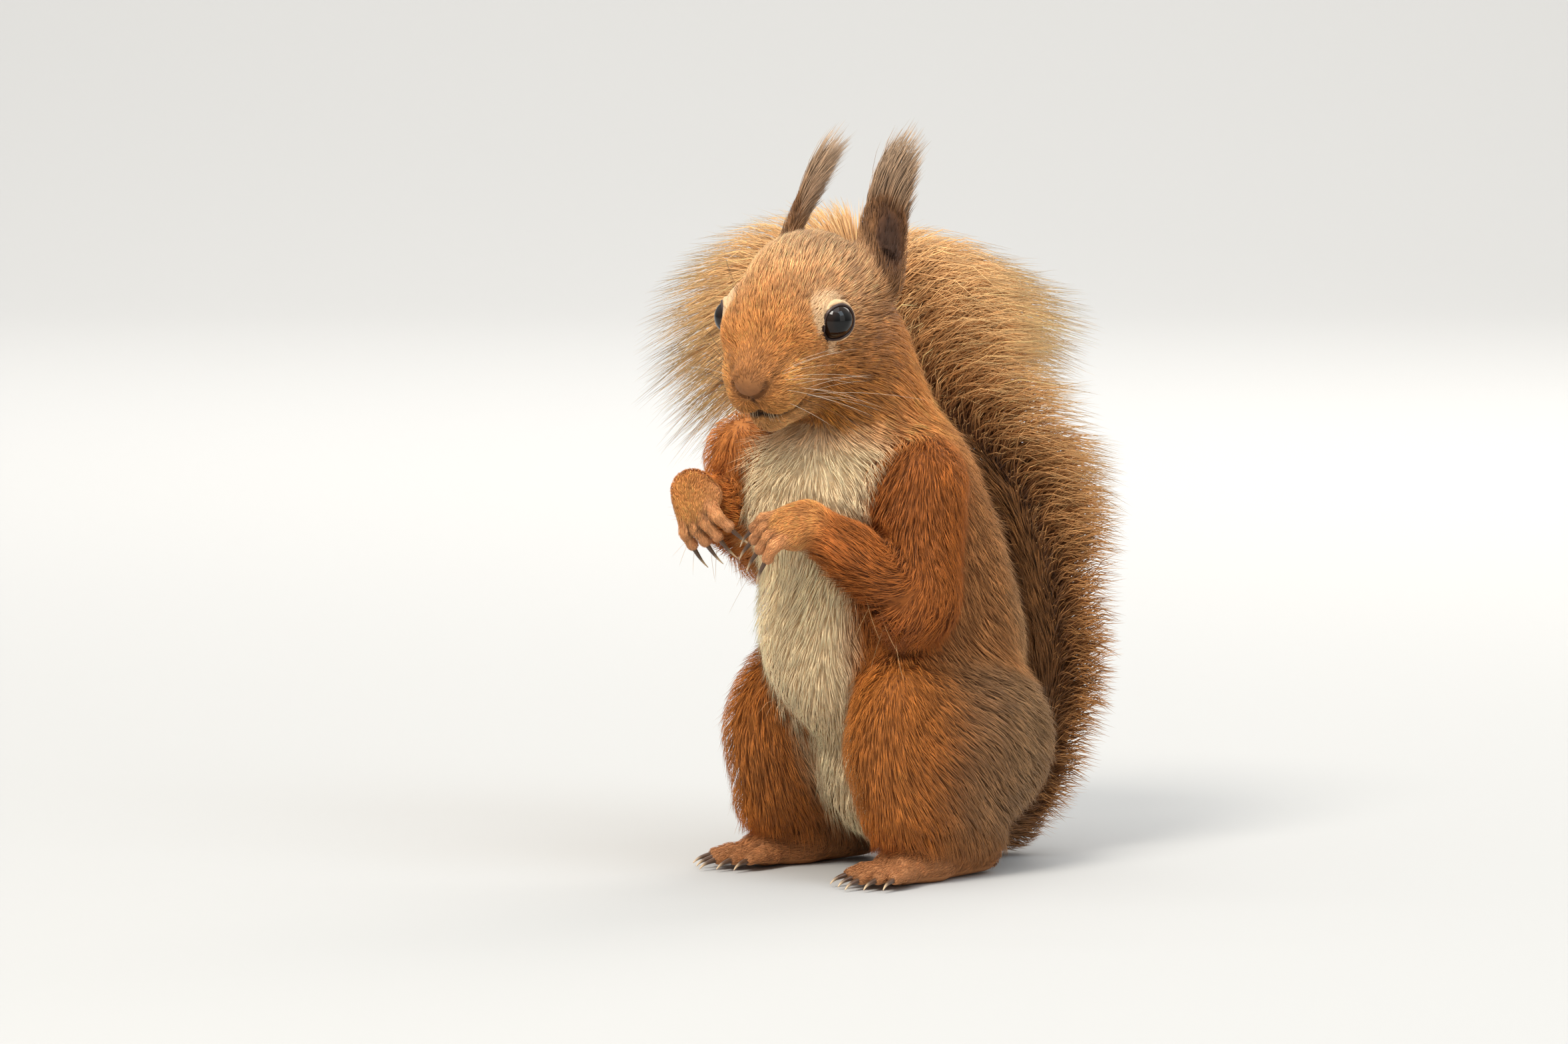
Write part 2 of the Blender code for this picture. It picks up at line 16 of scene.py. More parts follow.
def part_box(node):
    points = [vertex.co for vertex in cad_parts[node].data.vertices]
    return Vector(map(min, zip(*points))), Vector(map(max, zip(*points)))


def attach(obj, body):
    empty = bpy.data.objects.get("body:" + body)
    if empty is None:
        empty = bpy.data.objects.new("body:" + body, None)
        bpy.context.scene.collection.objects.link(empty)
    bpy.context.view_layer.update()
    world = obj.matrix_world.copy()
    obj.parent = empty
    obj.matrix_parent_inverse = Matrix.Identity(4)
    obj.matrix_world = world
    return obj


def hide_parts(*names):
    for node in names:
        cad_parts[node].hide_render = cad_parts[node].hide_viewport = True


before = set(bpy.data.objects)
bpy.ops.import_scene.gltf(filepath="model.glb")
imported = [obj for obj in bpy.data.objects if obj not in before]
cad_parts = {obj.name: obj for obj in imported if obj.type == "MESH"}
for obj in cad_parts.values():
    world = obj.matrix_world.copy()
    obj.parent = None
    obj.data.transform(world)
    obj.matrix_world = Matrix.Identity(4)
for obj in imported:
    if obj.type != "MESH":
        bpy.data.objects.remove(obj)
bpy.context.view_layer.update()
MM = 0.001
SIDES = {"left": 1, "right": -1}
DRAW = np.random.default_rng(11)

# ---------------------------------------------------------------- sizes of the animal
EYES = np.array((3.0, -41.6, 146.5))    # midpoint between the eyes
HEAD_TURN, HEAD_NOD = math.radians(20.0), math.radians(22.0)
EYE_OUT, EYE_RADIUS = 14.5, 5.0
LID_ANGLE = math.radians(61.0)          # half the opening of the lids, from the eye's middle
EAR_ROOT = (15.5, -25.0, -3.0)          # this and the next are in the head's own terms
EAR_RISE = (-0.13, -0.73, 0.67)
EAR_LENGTH = 27.0
TUFT_SWEEP = (-0.05, -0.95, 0.33)       # the way the ends of the ear's long hairs point
SHOULDER = {"left": (19, -9, 103), "right": (-26, -26, 108)}
ELBOW = {"left": (28, -17, 73.5), "right": (-30, -17, 86)}
WRIST = {"left": (16.5, -44.7, 95), "right": (-19.6, -52.6, 101.5)}
HAND_AIM = {"left": (-0.60, -0.74, -0.30), "right": (0.52, -0.12, -0.85)}
HAND_THUMB = {"left": (-0.57, 0.44, 0.60), "right": (0.92, 0.25, 0.32)}
HEEL = {"left": (23, 10, 5.5), "right": (-23, 10, 5.5)}
TOE_OUT = 0.10
TAIL_ROUTE = [(0, 24, 14.5), (0, 44, 10.8), (0, 57, 38), (-2, 57, 70), (-9, 48, 99),
              (-30, 28, 124), (-41, 27.5, 141), (-49, 34, 152)]
TAIL_WIDTH = [(0.0, 10), (0.12, 13), (0.25, 22), (0.42, 26), (0.57, 36), (0.68, 46),
              (0.80, 55), (1.0, 49)]    # half the brush's width at places along the tail
TAIL_TWIST = math.radians(46.0)
PAD_CENTRE, PAD_RADII = (0, 21.8, -8.9), (5.1, 3.6, 3.7)      # the bare end of the nose
EAR_HOLLOW_UP = 12.5                    # middle of the ear's hollow, above the ear's root
FOOT_CLEARANCE, HAIR_CLEARANCE = 0.05, 0.35                   # lowest skin and hair above the floor

# ---------------------------------------------------------------- how finely it is made
SKIN_GRAIN = 0.00056                    # metres between points of the skin before it is thinned
SKIN_KEPT, UNWRAP_KEPT = 0.30, 0.05     # shares of faces that thinning leaves
COAT_TUFTS, TAIL_HAIRS, EAR_HAIRS = 104000, 20500, 1500
PIECE_TUFTS, PIECE_HAIRS = 19500, 12000                       # most strands in one piece
BAKE_PATCH = 0.003
STRAY = 0.96                            # tufts drawn above this stand out of the coat
BUMP_DEPTH = 0.0003                     # metres between the low and high of a material's relief
FLAT_HAIR = 0.45                        # a strand's thickness as a share of its width

# ---------------------------------------------------------------- the view
VIEW_TURN, VIEW_LIFT = math.radians(48.0), math.radians(5.0)
VIEW_FAR, VIEW_SPAN = 2.2, 0.4123       # distance, and width of the view at the animal
VIEW_RIGHT, VIEW_UP = -0.02835, 0.0908  # where it aims, from the body's own zero


def tone(red, green, blue):
    """A coat colour as linear light."""
    value = np.array((red, green, blue)) / 255.0
    return np.where(value <= 0.04045, value / 12.92, ((value + 0.055) / 1.055) ** 2.4)


RUST = tone(192, 114, 44)
DEEP_RUST = tone(158, 90, 36)
FLANK = tone(188, 128, 76)
BACK = tone(168, 116, 72)
NECK = tone(230, 156, 86)
GRIZZLE = tone(178, 142, 102)
CREAM = tone(255, 228, 184)
BUFF = tone(228, 174, 116)
FOREHEAD = tone(224, 170, 118)
BRIDGE = tone(200, 130, 66)
MUZZLE = tone(224, 156, 86)
CHEEK = tone(168, 106, 48)
JAW = tone(180, 116, 44)
NOSE = tone(136, 89, 52)
EAR_BACK = tone(116, 76, 42)
EAR_IN = tone(88, 54, 30)
TUFT = tone(172, 144, 116)
PAW = tone(240, 168, 94)
FOOT = tone(184, 124, 78)
SKIN = tone(168, 118, 96)
# DARK is the dark rim of the lids and lips, and painted shade in creases, grooves, nostrils and
# between the fingers
DARK = tone(44, 28, 20)
TAIL_DEEP = tone(130, 86, 46)
TAIL_MID = tone(214, 152, 92)
TAIL_TIP = tone(238, 196, 138)
WHISKER_PALE, WHISKER_DARK = tone(226, 206, 184), tone(52, 38, 32)
BROW_HAIR = tone(48, 36, 30)
WRIST_HAIR = tone(222, 176, 120)
LIP_HAIR = tone(226, 196, 156)
EYE_RING = tone(246, 206, 160)
# painted light: a brighter rust laid on the far (right) arm, as if light falls on it
FAR_ARM_PAINTED_LIGHT = tone(230, 146, 72)
FINGER = tone(206, 144, 104)
PUPIL, IRIS = tone(6, 5, 5), tone(30, 18, 12)
LID = tone(58, 38, 32)
HORN_DARK, HORN_PALE = tone(84, 60, 44), tone(206, 176, 138)


# ---------------------------------------------------------------- small sums
def vector(values):
    """A place or direction as an array."""
    return np.array(values, dtype=float)


def norms(vectors):
    """The length of each vector."""
    return np.linalg.norm(vectors, axis=-1)


def unit(vectors):
    """Vectors brought to length one."""
    return vectors / (norms(vectors)[:, None] + 1e-12)


def ease(low, high, value):
    """A smooth step from 0 at low to 1 at high."""
    t = np.clip((value - low) / (high - low), 0.0, 1.0)
    return t * t * (3.0 - 2.0 * t)


# ---------------------------------------------------------------- the head's own axes
def head_axes():
    """The head's axes as columns: left, back, up."""
    ahead = (math.sin(HEAD_TURN), -math.cos(HEAD_TURN))
    low, high = math.cos(HEAD_NOD), math.sin(HEAD_NOD)
    left = (math.cos(HEAD_TURN), math.sin(HEAD_TURN), 0.0)
    back = (-ahead[0] * low, -ahead[1] * low, high)
    up = (ahead[0] * high, ahead[1] * high, low)
    return np.array((left, back, up)).T


HEAD = head_axes()


def head_way(left, forward, up):
    """A direction given in the head's own terms."""
    way = HEAD @ vector((left, -forward, up))
    return way / np.linalg.norm(way)


def in_head(left, forward, up):
    """A place in the head, from the midpoint between the eyes."""
    return EYES + HEAD @ vector((left, -forward, up))


def head_local(points):
    """Places as left, forward and up of the midpoint between the eyes."""
    local = (points - EYES) @ HEAD
    return local * np.array((1.0, -1.0, 1.0))


def eye_centre(side):
    """The middle of one eyeball, a little behind the line between the eyes."""
    return in_head(EYE_OUT * SIDES[side], -1.0, -0.5)


EYE_BOX = np.array(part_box("eye_left")).mean(axis=0)
OFFSET = EYE_BOX - in_head(EYE_OUT, 0.0, 0.0) * MM      # from the body's own zero to the frame's


def to_frame(points):
    """Millimetres of the body to metres of the frame."""
    return points * MM + OFFSET


def to_body(points):
    """Metres of the frame to millimetres of the body."""
    return (points - OFFSET) / MM


# ---------------------------------------------------------------- masses
def ball(centre, radii, coat, soft, lie, hue, axes=None):
    """An ellipsoid of flesh, with its coat's depth, the lie of its hair and its colour."""
    return {"start": vector(centre), "end": None, "radii": vector(radii), "coat": coat,
            "soft": soft, "hue": hue, "lie": vector(lie),
            "axes": np.eye(3) if axes is None else axes}


def bone(start, end, radius, end_radius, coat, soft, hue, lie=None):
    """A tapered length of flesh whose hair lies along it."""
    start, end = vector(start), vector(end)
    way = (end - start) / np.linalg.norm(end - start) if lie is None else vector(lie)
    return {"start": start, "end": end, "radii": vector((radius, end_radius)), "coat": coat,
            "soft": soft, "hue": hue, "lie": way}


def distance(mass, points):
    """Distance from each point to one mass, and the direction away from it."""
    away = points - mass["start"]
    if mass["end"] is not None:
        axis = mass["end"] - mass["start"]
        along = np.clip(away @ axis / (axis @ axis), 0.0, 1.0)
        away = away - along[:, None] * axis
        length = norms(away) + 1e-9
        radius = mass["radii"][0] + along * (mass["radii"][1] - mass["radii"][0])
        return length - radius, away / length[:, None]
    local = away @ mass["axes"]
    scaled = norms(local / mass["radii"]) + 1e-9
    slope = local / mass["radii"] ** 2
    steep = norms(slope) + 1e-9
    return scaled * (scaled - 1.0) / steep, (slope / steep[:, None]) @ mass["axes"].T


def rise_to(points, masses, height, rounds, stride=3.0):
    """Move points to a height above the smooth surface that wraps the masses."""
    for _ in range(rounds):
        total = np.zeros(len(points))
        slope = np.zeros_like(points)
        for mass in masses:
            gap, away = distance(mass, points)
            pull = np.exp(np.clip(-gap / mass["soft"], -60.0, 40.0))
            total += pull
            slope += (pull / mass["soft"])[:, None] * away
        total += 1e-30
        slope /= total[:, None]
        steep = np.maximum(norms(slope), 0.12)
        reach = -np.log(total) / steep
        step = np.clip(height - reach, -stride, stride) / steep
        points = points + step[:, None] * slope
    return points


def blended(points, masses, values, spread=2.2):
    """Values of the masses mixed at each point by how near each mass is."""
    sums = np.zeros((len(points), values.shape[1]))
    share = np.zeros(len(points)) + 1e-30
    for mass, value in zip(masses, values):
        gap, _ = distance(mass, points)
        near = np.exp(np.clip(-gap / spread, -60.0, 30.0))
        share += near
        sums += near[:, None] * value
    return sums / share[:, None]


def trunk_masses():
    """Pelvis, belly, ribs, shoulders, breast and neck."""
    down = (0.0, 0.1, -1.0)
    return [ball((0, 9, 30), (22.5, 25, 22), 5.5, 4.0, (0, 0.25, -1), BACK),
            ball((0, 7, 57), (23, 29, 26), 5.0, 4.0, down, FLANK),
            ball((-1, -16, 66), (17.5, 20, 25), 5.0, 4.0, (0, -0.1, -1), RUST),
            ball((0, 3, 78), (20.5, 26, 26), 5.5, 4.0, down, FLANK),
            ball((0, -3, 100), (18.5, 21, 18), 5.5, 4.0, (0, 0.3, -1), FLANK),
            ball((-2, -22.5, 98), (16, 17.5, 19), 5.0, 4.0, (0, 0, -1), RUST),
            bone((0, -7, 106), (-3, -15, 138), 16.5, 14.5, 4.5, 3.5, NECK,
                 (0, 0.45, -0.9))]


def leg_masses(side):
    """Thigh, knee and shank, folded beside the body."""
    sign = SIDES[side]
    back_down = (0.12 * sign, 0.55, -0.85)
    return [ball((23.5 * sign, 0, 34), (10, 30, 21), 4.5, 3.0, back_down, BACK),
            ball((23.5 * sign, -17, 37), (8.5, 14, 19), 3.5, 2.5, (0.1 * sign, 0.3, -1), RUST),
            bone((25 * sign, -20, 16), (23 * sign, 6, 12), 7.0, 6.0, 3.0, 2.5, RUST,
                 (0, 0.3, -0.9))]


def arm_masses(side):
    """Upper arm, forearm, and the cuff of shorter hair above the wrist."""
    shoulder, elbow, wrist = SHOULDER[side], vector(ELBOW[side]), vector(WRIST[side])
    cuff = elbow * 0.35 + wrist * 0.65
    return [bone(shoulder, elbow, 10.5, 8.0, 3.5, 2.5, DEEP_RUST * 1.25),
            bone(elbow, cuff, 7.0, 4.7, 3.1, 1.8, DEEP_RUST * 1.1),
            bone(cuff, wrist, 4.7, 3.4, 1.3, 1.8, DEEP_RUST * 1.35)]


def head_masses():
    """Skull, brow, muzzle, jaws, cheeks and lids."""
    masses = [ball(in_head(0, -14, -0.5), (15, 18.5, 15), 2.6, 2.0, head_way(0, -1, 0.1),
                   FOREHEAD, HEAD),
              ball(in_head(0, -2, 0.5), (11.5, 12, 8), 1.2, 2.0, head_way(0, -1, 0.5),
                   BRIDGE, HEAD),
              bone(in_head(0, 1, -4), in_head(0, 18, -8.5), 9.2, 5.6, 0.8, 1.5, BRIDGE,
                   head_way(0, -1, 0.2)),
              bone(in_head(0, -4, -18), in_head(0, 14, -19.3), 9.0, 4.9, 1.2, 1.5, JAW,
                   head_way(0, -1, -0.3)),
              ball(in_head(0, 20.4, -8.4), (4.6, 3.3, 3.5), 0.15, 0.6, head_way(0, -1, 0.4),
                   NOSE, HEAD)]
    for sign in SIDES.values():
        masses += [ball(in_head(11.5 * sign, -9, -12), (5.5, 10, 9.5), 2.6, 2.5,
                        head_way(0.15 * sign, -1, -0.45), CHEEK, HEAD),
                   ball(in_head(7.5 * sign, -11, -21.5), (7.5, 11, 9.5), 2.4, 2.5,
                        head_way(0.1 * sign, -1, -0.7), JAW, HEAD),
                   ball(in_head(7.0 * sign, 8, -9.5), (5.5, 10, 6.5), 1.0, 1.5,
                        head_way(0.2 * sign, -1, -0.15), BRIDGE, HEAD),
                   ball(in_head(4.4 * sign, 15.5, -13.2), (4.5, 5.8, 5.2), 0.8, 1.0,
                        head_way(0.35 * sign, -1, -0.35), MUZZLE, HEAD),
                   ball(in_head(9.6 * sign, 5, -2), (4.2, 6, 6), 0.8, 1.2,
                        head_way(0.25 * sign, -1, 0.1), BRIDGE, HEAD),
                   ball(in_head(11.3 * sign, -1, 1), (4.4, 6.5, 6.0), 0.6, 1.2,
                        head_way(0.3 * sign, -1, 0.15), FOREHEAD, HEAD)]
    return masses


def ear_facing(side):
    """The direction an ear's hollow faces."""
    return head_way(0.80 * SIDES[side], 0.45, 0.30)


def ear_frame(side):
    """The root of an ear and its axes as columns: across, out of the shell, along."""
    sign = SIDES[side]
    rise = head_way(EAR_RISE[0] * sign, *EAR_RISE[1:])
    across = np.cross(rise, ear_facing(side))
    across /= np.linalg.norm(across)
    root = in_head(EAR_ROOT[0] * sign, *EAR_ROOT[1:])
    return root, np.array((across, np.cross(rise, across), rise)).T


def ear_masses(side):
    """The thin shell of the ear and the knob it grows from."""
    root, axes = ear_frame(side)
    rise = axes[:, 2]
    return [ball(root + rise * EAR_LENGTH / 2, (6.4, 1.9, EAR_LENGTH / 2), 1.1, 0.8, rise,
                 EAR_BACK, axes),
            ball(root + rise * 4, (5.2, 4.2, 6.5), 1.3, 1.5, rise, EAR_BACK, axes)]


# ---------------------------------------------------------------- paws
def paw_axes(aim, thumb, sign):
    """Axes of a forepaw as columns: along, to the thumb's side, out of its back."""
    along = Vector(aim).normalized()
    side = Vector(thumb)
    side = (side - along * side.dot(along)).normalized()
    return np.array((along, side, side.cross(along) * sign)).T


def digit(places, radii, coat, hue):
    """One finger or toe through its joints."""
    pairs = zip(places[:-1], places[1:], radii[:-1], radii[1:])
    return [bone(start, end, first, last, coat, 0.4, hue) for start, end, first, last in pairs]


def hand(side):
    """Masses of a forepaw, the places of its claws, and the joints of each finger."""
    axes = paw_axes(HAND_AIM[side], HAND_THUMB[side], SIDES[side])

    def at(along, thumb, back):
        return vector(WRIST[side]) + axes @ vector((along, thumb, back))

    masses = [bone(at(0.5, 0, 0), at(4, 0, 0), 4.4, 4.2, 0.9, 1.2, PAW),
              ball(at(5.0, 0, 0), (5.6, 5.6, 3.3), 0.8, 0.9, axes[:, 0], PAW, axes),
              ball(at(3.5, 4.9, -1.6), (2.4, 1.7, 1.8), 0.1, 0.5, axes[:, 0], SKIN, axes),
              ball(at(4.6, -3.0, -2.4), (2.8, 2.0, 1.6), 0.1, 0.5, axes[:, 0], SKIN, axes),
              ball(at(6.6, 1.6, -2.3), (2.2, 2.2, 1.4), 0.1, 0.5, axes[:, 0], SKIN, axes)]
    claws, fingers = [], []
    for number in range(4):
        thumb = (1.5 - number) * 3.1
        reach = 1.0 - 0.13 * abs(number - 1.2)
        places = [at(7.0, thumb * 0.9, 0.4), at(7.0 + 4.4 * reach, thumb * 1.15, 0.5),
                  at(7.0 + 7.6 * reach, thumb * 1.3, -2.1)]
        masses += digit(places, (1.45, 1.3, 1.15), 0.3, PAW)
        fingers.append(places)
        tip = places[-1] - places[-2]
        tip /= np.linalg.norm(tip)
        masses.append(ball(places[-1] - axes[:, 2] * 0.5, (1.3, 1.2, 1.1), 0.05, 0.4, tip, SKIN,
                           axes))
        claws.append((places[-1], tip, -axes[:, 2]))
    return masses, claws, fingers


def foot(side):
    """Masses of a hind foot laid flat, and the places of its claws."""
    sign = SIDES[side]
    ahead = np.array((TOE_OUT * sign, -1.0, 0.0)) / math.hypot(TOE_OUT, 1.0)
    out = np.array((sign, TOE_OUT, 0.0)) / math.hypot(TOE_OUT, 1.0)

    def at(along, outward, up):
        return vector(HEEL[side]) + ahead * along + out * outward + np.array((0.0, 0.0, up))

    masses = [bone(at(0, 0, 0), at(22, 0, -0.5), 5.0, 5.4, 0.6, 1.2, FOOT),
              bone(at(20, -2.2, -1.2), at(34, -2.6, -1.6), 4.0, 3.4, 0.6, 1.0, FOOT),
              bone(at(20, 2.4, -1.2), at(34, 2.8, -1.6), 4.0, 3.4, 0.6, 1.0, FOOT)]
    claws = []
    for number in range(5):
        spread = (number - 2) * 3.0
        reach = 1.0 - 0.16 * abs(number - 2)
        places = [at(33, spread * 0.85, -2.4), at(33 + 7.5 * reach, spread * 1.15, -1.9),
                  at(33 + 13.5 * reach, spread * 1.3, -1.9 - 0.9 * reach)]
        masses += digit(places, (2.0, 1.7, 1.5), 0.4, FOOT)
        tip = places[-1] - places[-2]
        claws.append((places[-1], tip / np.linalg.norm(tip), np.array((0.0, 0.0, -1.0))))
    return masses, claws


# ---------------------------------------------------------------- the tail's core
def rachis(places):
    """Points of the tail's core, for places from 0 at its root to 1 at its tip and past it."""
    points = vector(TAIL_ROUTE)
    points = np.vstack([2 * points[0] - points[1], points, 2 * points[-1] - points[-2]])
    held = np.clip(places, 0.0, 1.0) * (len(TAIL_ROUTE) - 1)
    index = np.minimum(held.astype(int), len(TAIL_ROUTE) - 2)
    s = (held - index)[:, None]
    a, b, c, d = (points[index + step] for step in range(4))
    return 0.5 * (2 * b + (c - a) * s + (2 * a - 5 * b + 4 * c - d) * s ** 2
                  + (3 * b - a - 3 * c + d) * s ** 3)


def tail_axes(places):
    """The tail's own axes at each place: across its flat side, through it, along it."""
    along = rachis(np.minimum(places + 0.01, 1.0)) - rachis(np.maximum(places - 0.01, 0.0))
    along /= norms(along)[:, None]
    twist = np.clip((places - 0.3) / 0.45, 0.0, 1.0)
    twist = TAIL_TWIST * twist * twist * (3 - 2 * twist)
    across = np.stack([np.cos(twist), np.sin(twist), np.zeros_like(twist)], axis=1)
    across -= along * (across * along).sum(axis=1)[:, None]
    across /= norms(across)[:, None]
    return across, np.cross(along, across), along


def tail_core():
    """The fleshy core under the tail's hair."""
    spots = rachis(np.linspace(0.0, 0.97, 15))
    masses = []
    for number, (start, end) in enumerate(zip(spots[:-1], spots[1:])):
        thick = 7.5 - 6.0 * min(number / 9.0, 1.0) ** 0.7
        thin = 7.5 - 6.0 * min((number + 1) / 9.0, 1.0) ** 0.7
        coat = 4.5 if number < 2 else 3.2
        masses.append(bone(start, end, thick, thin, coat, 1.2, TAIL_DEEP))
    return masses


def tail_brush():
    """Wide rounds of hair along the rachis, which give the outline of the brush."""
    spots, widths = zip(*TAIL_WIDTH)
    masses = []
    for place in np.linspace(0.14, 0.92, 18):
        across, through, along = (axis[0] for axis in tail_axes(np.array([place])))
        reach = 15.0 + 20.0 * max(place - 0.6, 0.0) / 0.34
        radii = (float(np.interp(place, spots, widths)) - 2, 8.0 + 2.5 * place, reach)
        masses.append(ball(rachis(np.array([place]))[0], radii, 0.0, 2.5, along, TAIL_MID,
                           np.array((across, through, along)).T))
    return masses


def whole_body():
    """Every mass under the skin, and which part of the body each is."""
    groups = {"trunk": trunk_masses(), "head": head_masses(), "tail": tail_core(),
              "leg": [], "arm": [], "hand": [], "foot": [], "ear": []}
    for side in SIDES:
        groups["leg"] += leg_masses(side)
        groups["arm"] += arm_masses(side)
        groups["hand"] += hand(side)[0]
        groups["foot"] += foot(side)[0]
        groups["ear"] += ear_masses(side)
    masses = [mass for group in groups.values() for mass in group]
    labels = [name for name, group in groups.items() for _ in group]
    return masses, labels


BODY, PART = whole_body()
COAT_NAMES = {"trunk": "body", "head": "head", "tail": "rump", "leg": "haunches", "arm": "arms",
              "hand": "forepaws", "foot": "feet", "ear": "ears"}
PARTS = list(COAT_NAMES)
KNUCKLES = np.array([[label == "hand" and mass["radii"].max() < 1.6]
                     for mass, label in zip(BODY, PART)], dtype=float)


# ---------------------------------------------------------------- meshes
def activate(*pieces):
    """Select these pieces alone and make the first one active."""
    bpy.ops.object.select_all(action="DESELECT")
    for piece in pieces:
        piece.select_set(True)
    bpy.context.view_layer.objects.active = pieces[0]


def settle(piece):
    """Put a piece's place into its mesh."""
    activate(piece)
    bpy.ops.object.transform_apply(location=True, rotation=True, scale=True)


def modify(piece, kind, **values):
    """Add a modifier to the active piece, set it and apply it."""
    change = piece.modifiers.new(kind.lower(), kind)
    for name, value in values.items():
        setattr(change, name, value)
    bpy.ops.object.modifier_apply(modifier=change.name)


def in_edit_mode(*steps):
    """Run steps on every part of the active piece's mesh."""
    bpy.ops.object.mode_set(mode="EDIT")
    bpy.ops.mesh.select_all(action="SELECT")
    for step in steps:
        step()
    bpy.ops.object.mode_set(mode="OBJECT")


def rows_of(items, field, width, kind=np.float32):
    """One field of a mesh's items as rows of numbers."""
    values = np.empty(len(items) * width, dtype=kind)
    items.foreach_get(field, values)
    return values.reshape(-1, width)


def triangles_of(mesh):
    """The corners of each face of a mesh of triangles, as numbers of points."""
    return rows_of(mesh.loops, "vertex_index", 1, np.int32).reshape(-1, 3)


def vertex_places(mesh):
    """A mesh's points, in millimetres of the body."""
    return to_body(rows_of(mesh.vertices, "co", 3).astype(float))


def vertex_normals(mesh):
    """A mesh's normals."""
    return rows_of(mesh.vertex_normals, "vector", 3).astype(float)


def move_points(mesh, points):
    """Move a mesh's points to places of the body."""
    mesh.vertices.foreach_set("co", to_frame(points).ravel())
    mesh.update()


def colour_points(mesh, colours):
    """Store linear colours on a mesh's points."""
    layer = mesh.color_attributes.new("markings_and_painted_light", "FLOAT_COLOR", "POINT")
    full = np.ones((len(colours), 4), dtype=np.float32)
    full[:, :3] = colours
    layer.data.foreach_set("color", full.ravel())


# ---------------------------------------------------------------- markings and painted light
def gaze_axes(side):
    """Where an eye looks, with the directions ahead of it and over it."""
    gaze = head_way(0.87 * SIDES[side], 0.47, 0.11)
    over = head_way(0.0, 0.0, 1.0)
    over = over - gaze * (over @ gaze)
    over /= np.linalg.norm(over)
    ahead = np.cross(over, gaze) * SIDES[side]
    return gaze, -ahead if ahead @ head_way(0, 1, 0) < 0 else ahead, over


def from_eye(points, side):
    """Each point's distance from an eye's middle, its angle off the gaze, and its turn round it."""
    gaze, ahead, over = gaze_axes(side)
    away = points - eye_centre(side)
    length = norms(away) + 1e-9
    angle = np.arccos(np.clip(away @ gaze / length, -1.0, 1.0))
    return length, angle, np.arctan2(away @ over, away @ ahead)


def eye_reach(points):
    """What from_eye gives for the nearer eye."""
    one, other = (np.array(from_eye(points, side)) for side in SIDES)
    return np.where(other[0] < one[0], other, one)


def lid_edge(turn):
    """Half the lids' opening round the eye: a corner low in front, lower above and below."""
    corner = np.maximum(np.cos(turn - math.radians(-42.0)), 0.0) ** 8
    return LID_ANGLE + math.radians(24.0) * corner - math.radians(6.0) * np.sin(turn) ** 2


def on_skin(line):
    """A line given in the head's terms, laid on the skin."""
    places = np.array([in_head(*place) for place in line])
    return list(rise_to(places, BODY, 0.0, 8, 1.0))


def on_both_sides(line):
    """A line laid on the skin of the left side and mirrored on the right."""
    return [on_skin([(left * sign, *rest) for left, *rest in line]) for sign in SIDES.values()]


HALF_MOUTH = [(7, 10.5, -19), (6.5, 14, -18.5), (5.5, 17.5, -18), (3, 18.5, -18)]
MOUTH = on_skin([(-left, *rest) for left, *rest in HALF_MOUTH] + [(0, 19, -17.5)]
                + HALF_MOUTH[::-1])
PHILTRUM = on_skin([(0, 23.5, -12), (0, 22.5, -14), (0, 21, -16), (0, 19, -17.5)])
NOSTRIL = on_both_sides([(4.5, 22, -8), (4.5, 22.5, -9.5), (3, 23, -11), (1, 23, -11.5)])
CREASE = on_both_sides([(8, 12.5, -4), (7, 16, -5), (5.5, 19.5, -6.5)])
EAR_CREASE = on_both_sides([(16, -26.5, -6), (16.5, -28, -10)])


def line_distance(points, line):
    """Distance from each point to a line of straight lengths."""
    best = np.full(len(points), 1e9)
    for start, end in zip(line[:-1], line[1:]):
        axis = end - start
        away = points - start
        along = np.clip(away @ axis / (axis @ axis), 0.0, 1.0)
        best = np.minimum(best, norms(away - along[:, None] * axis))
    return best


def nearer_line(points, lines):
    """Distance from each point to the nearer of two lines."""
    return np.minimum(*[line_distance(points, line) for line in lines])


def pad_reach(points):
    """Distance from the middle of the nose's bare end, 1 at its edge."""
    return norms((head_local(points) - PAD_CENTRE) / PAD_RADII)


def finger_gap(points):
    """How near each point is to the line between two fingers, and how near to any finger."""
    between, close = np.zeros(len(points)), np.zeros(len(points))
    for side in SIDES:
        reach = np.sort([line_distance(points, finger) for finger in hand(side)[2]], axis=0)
        near = 1 - ease(2.2, 3.2, reach[0])
        between = np.maximum(between, near * (1 - ease(0.1, 0.8, reach[1] - reach[0])))
        close = np.maximum(close, near)
    return between, close


def concha(points):
    """How far inside the hollow of an ear each point lies, 1 at its middle and 0 at its rim."""
    depth = np.zeros(len(points))
    for side in SIDES:
        root, axes = ear_frame(side)
        local = (points - root - axes[:, 2] * EAR_HOLLOW_UP) @ axes
        outward = local[:, 1] * np.sign(axes[:, 1] @ ear_facing(side))
        lean = local[:, 0] - 0.9 * np.sign(axes[:, 0] @ head_way(0, -1, 0))
        round_it = (lean / 4.9) ** 2 + (local[:, 2] / 12.0) ** 2
        inside = np.clip(1.0 - round_it, 0.0, 1.0) * (outward > -0.6)
        depth = np.maximum(depth, inside)
    return depth


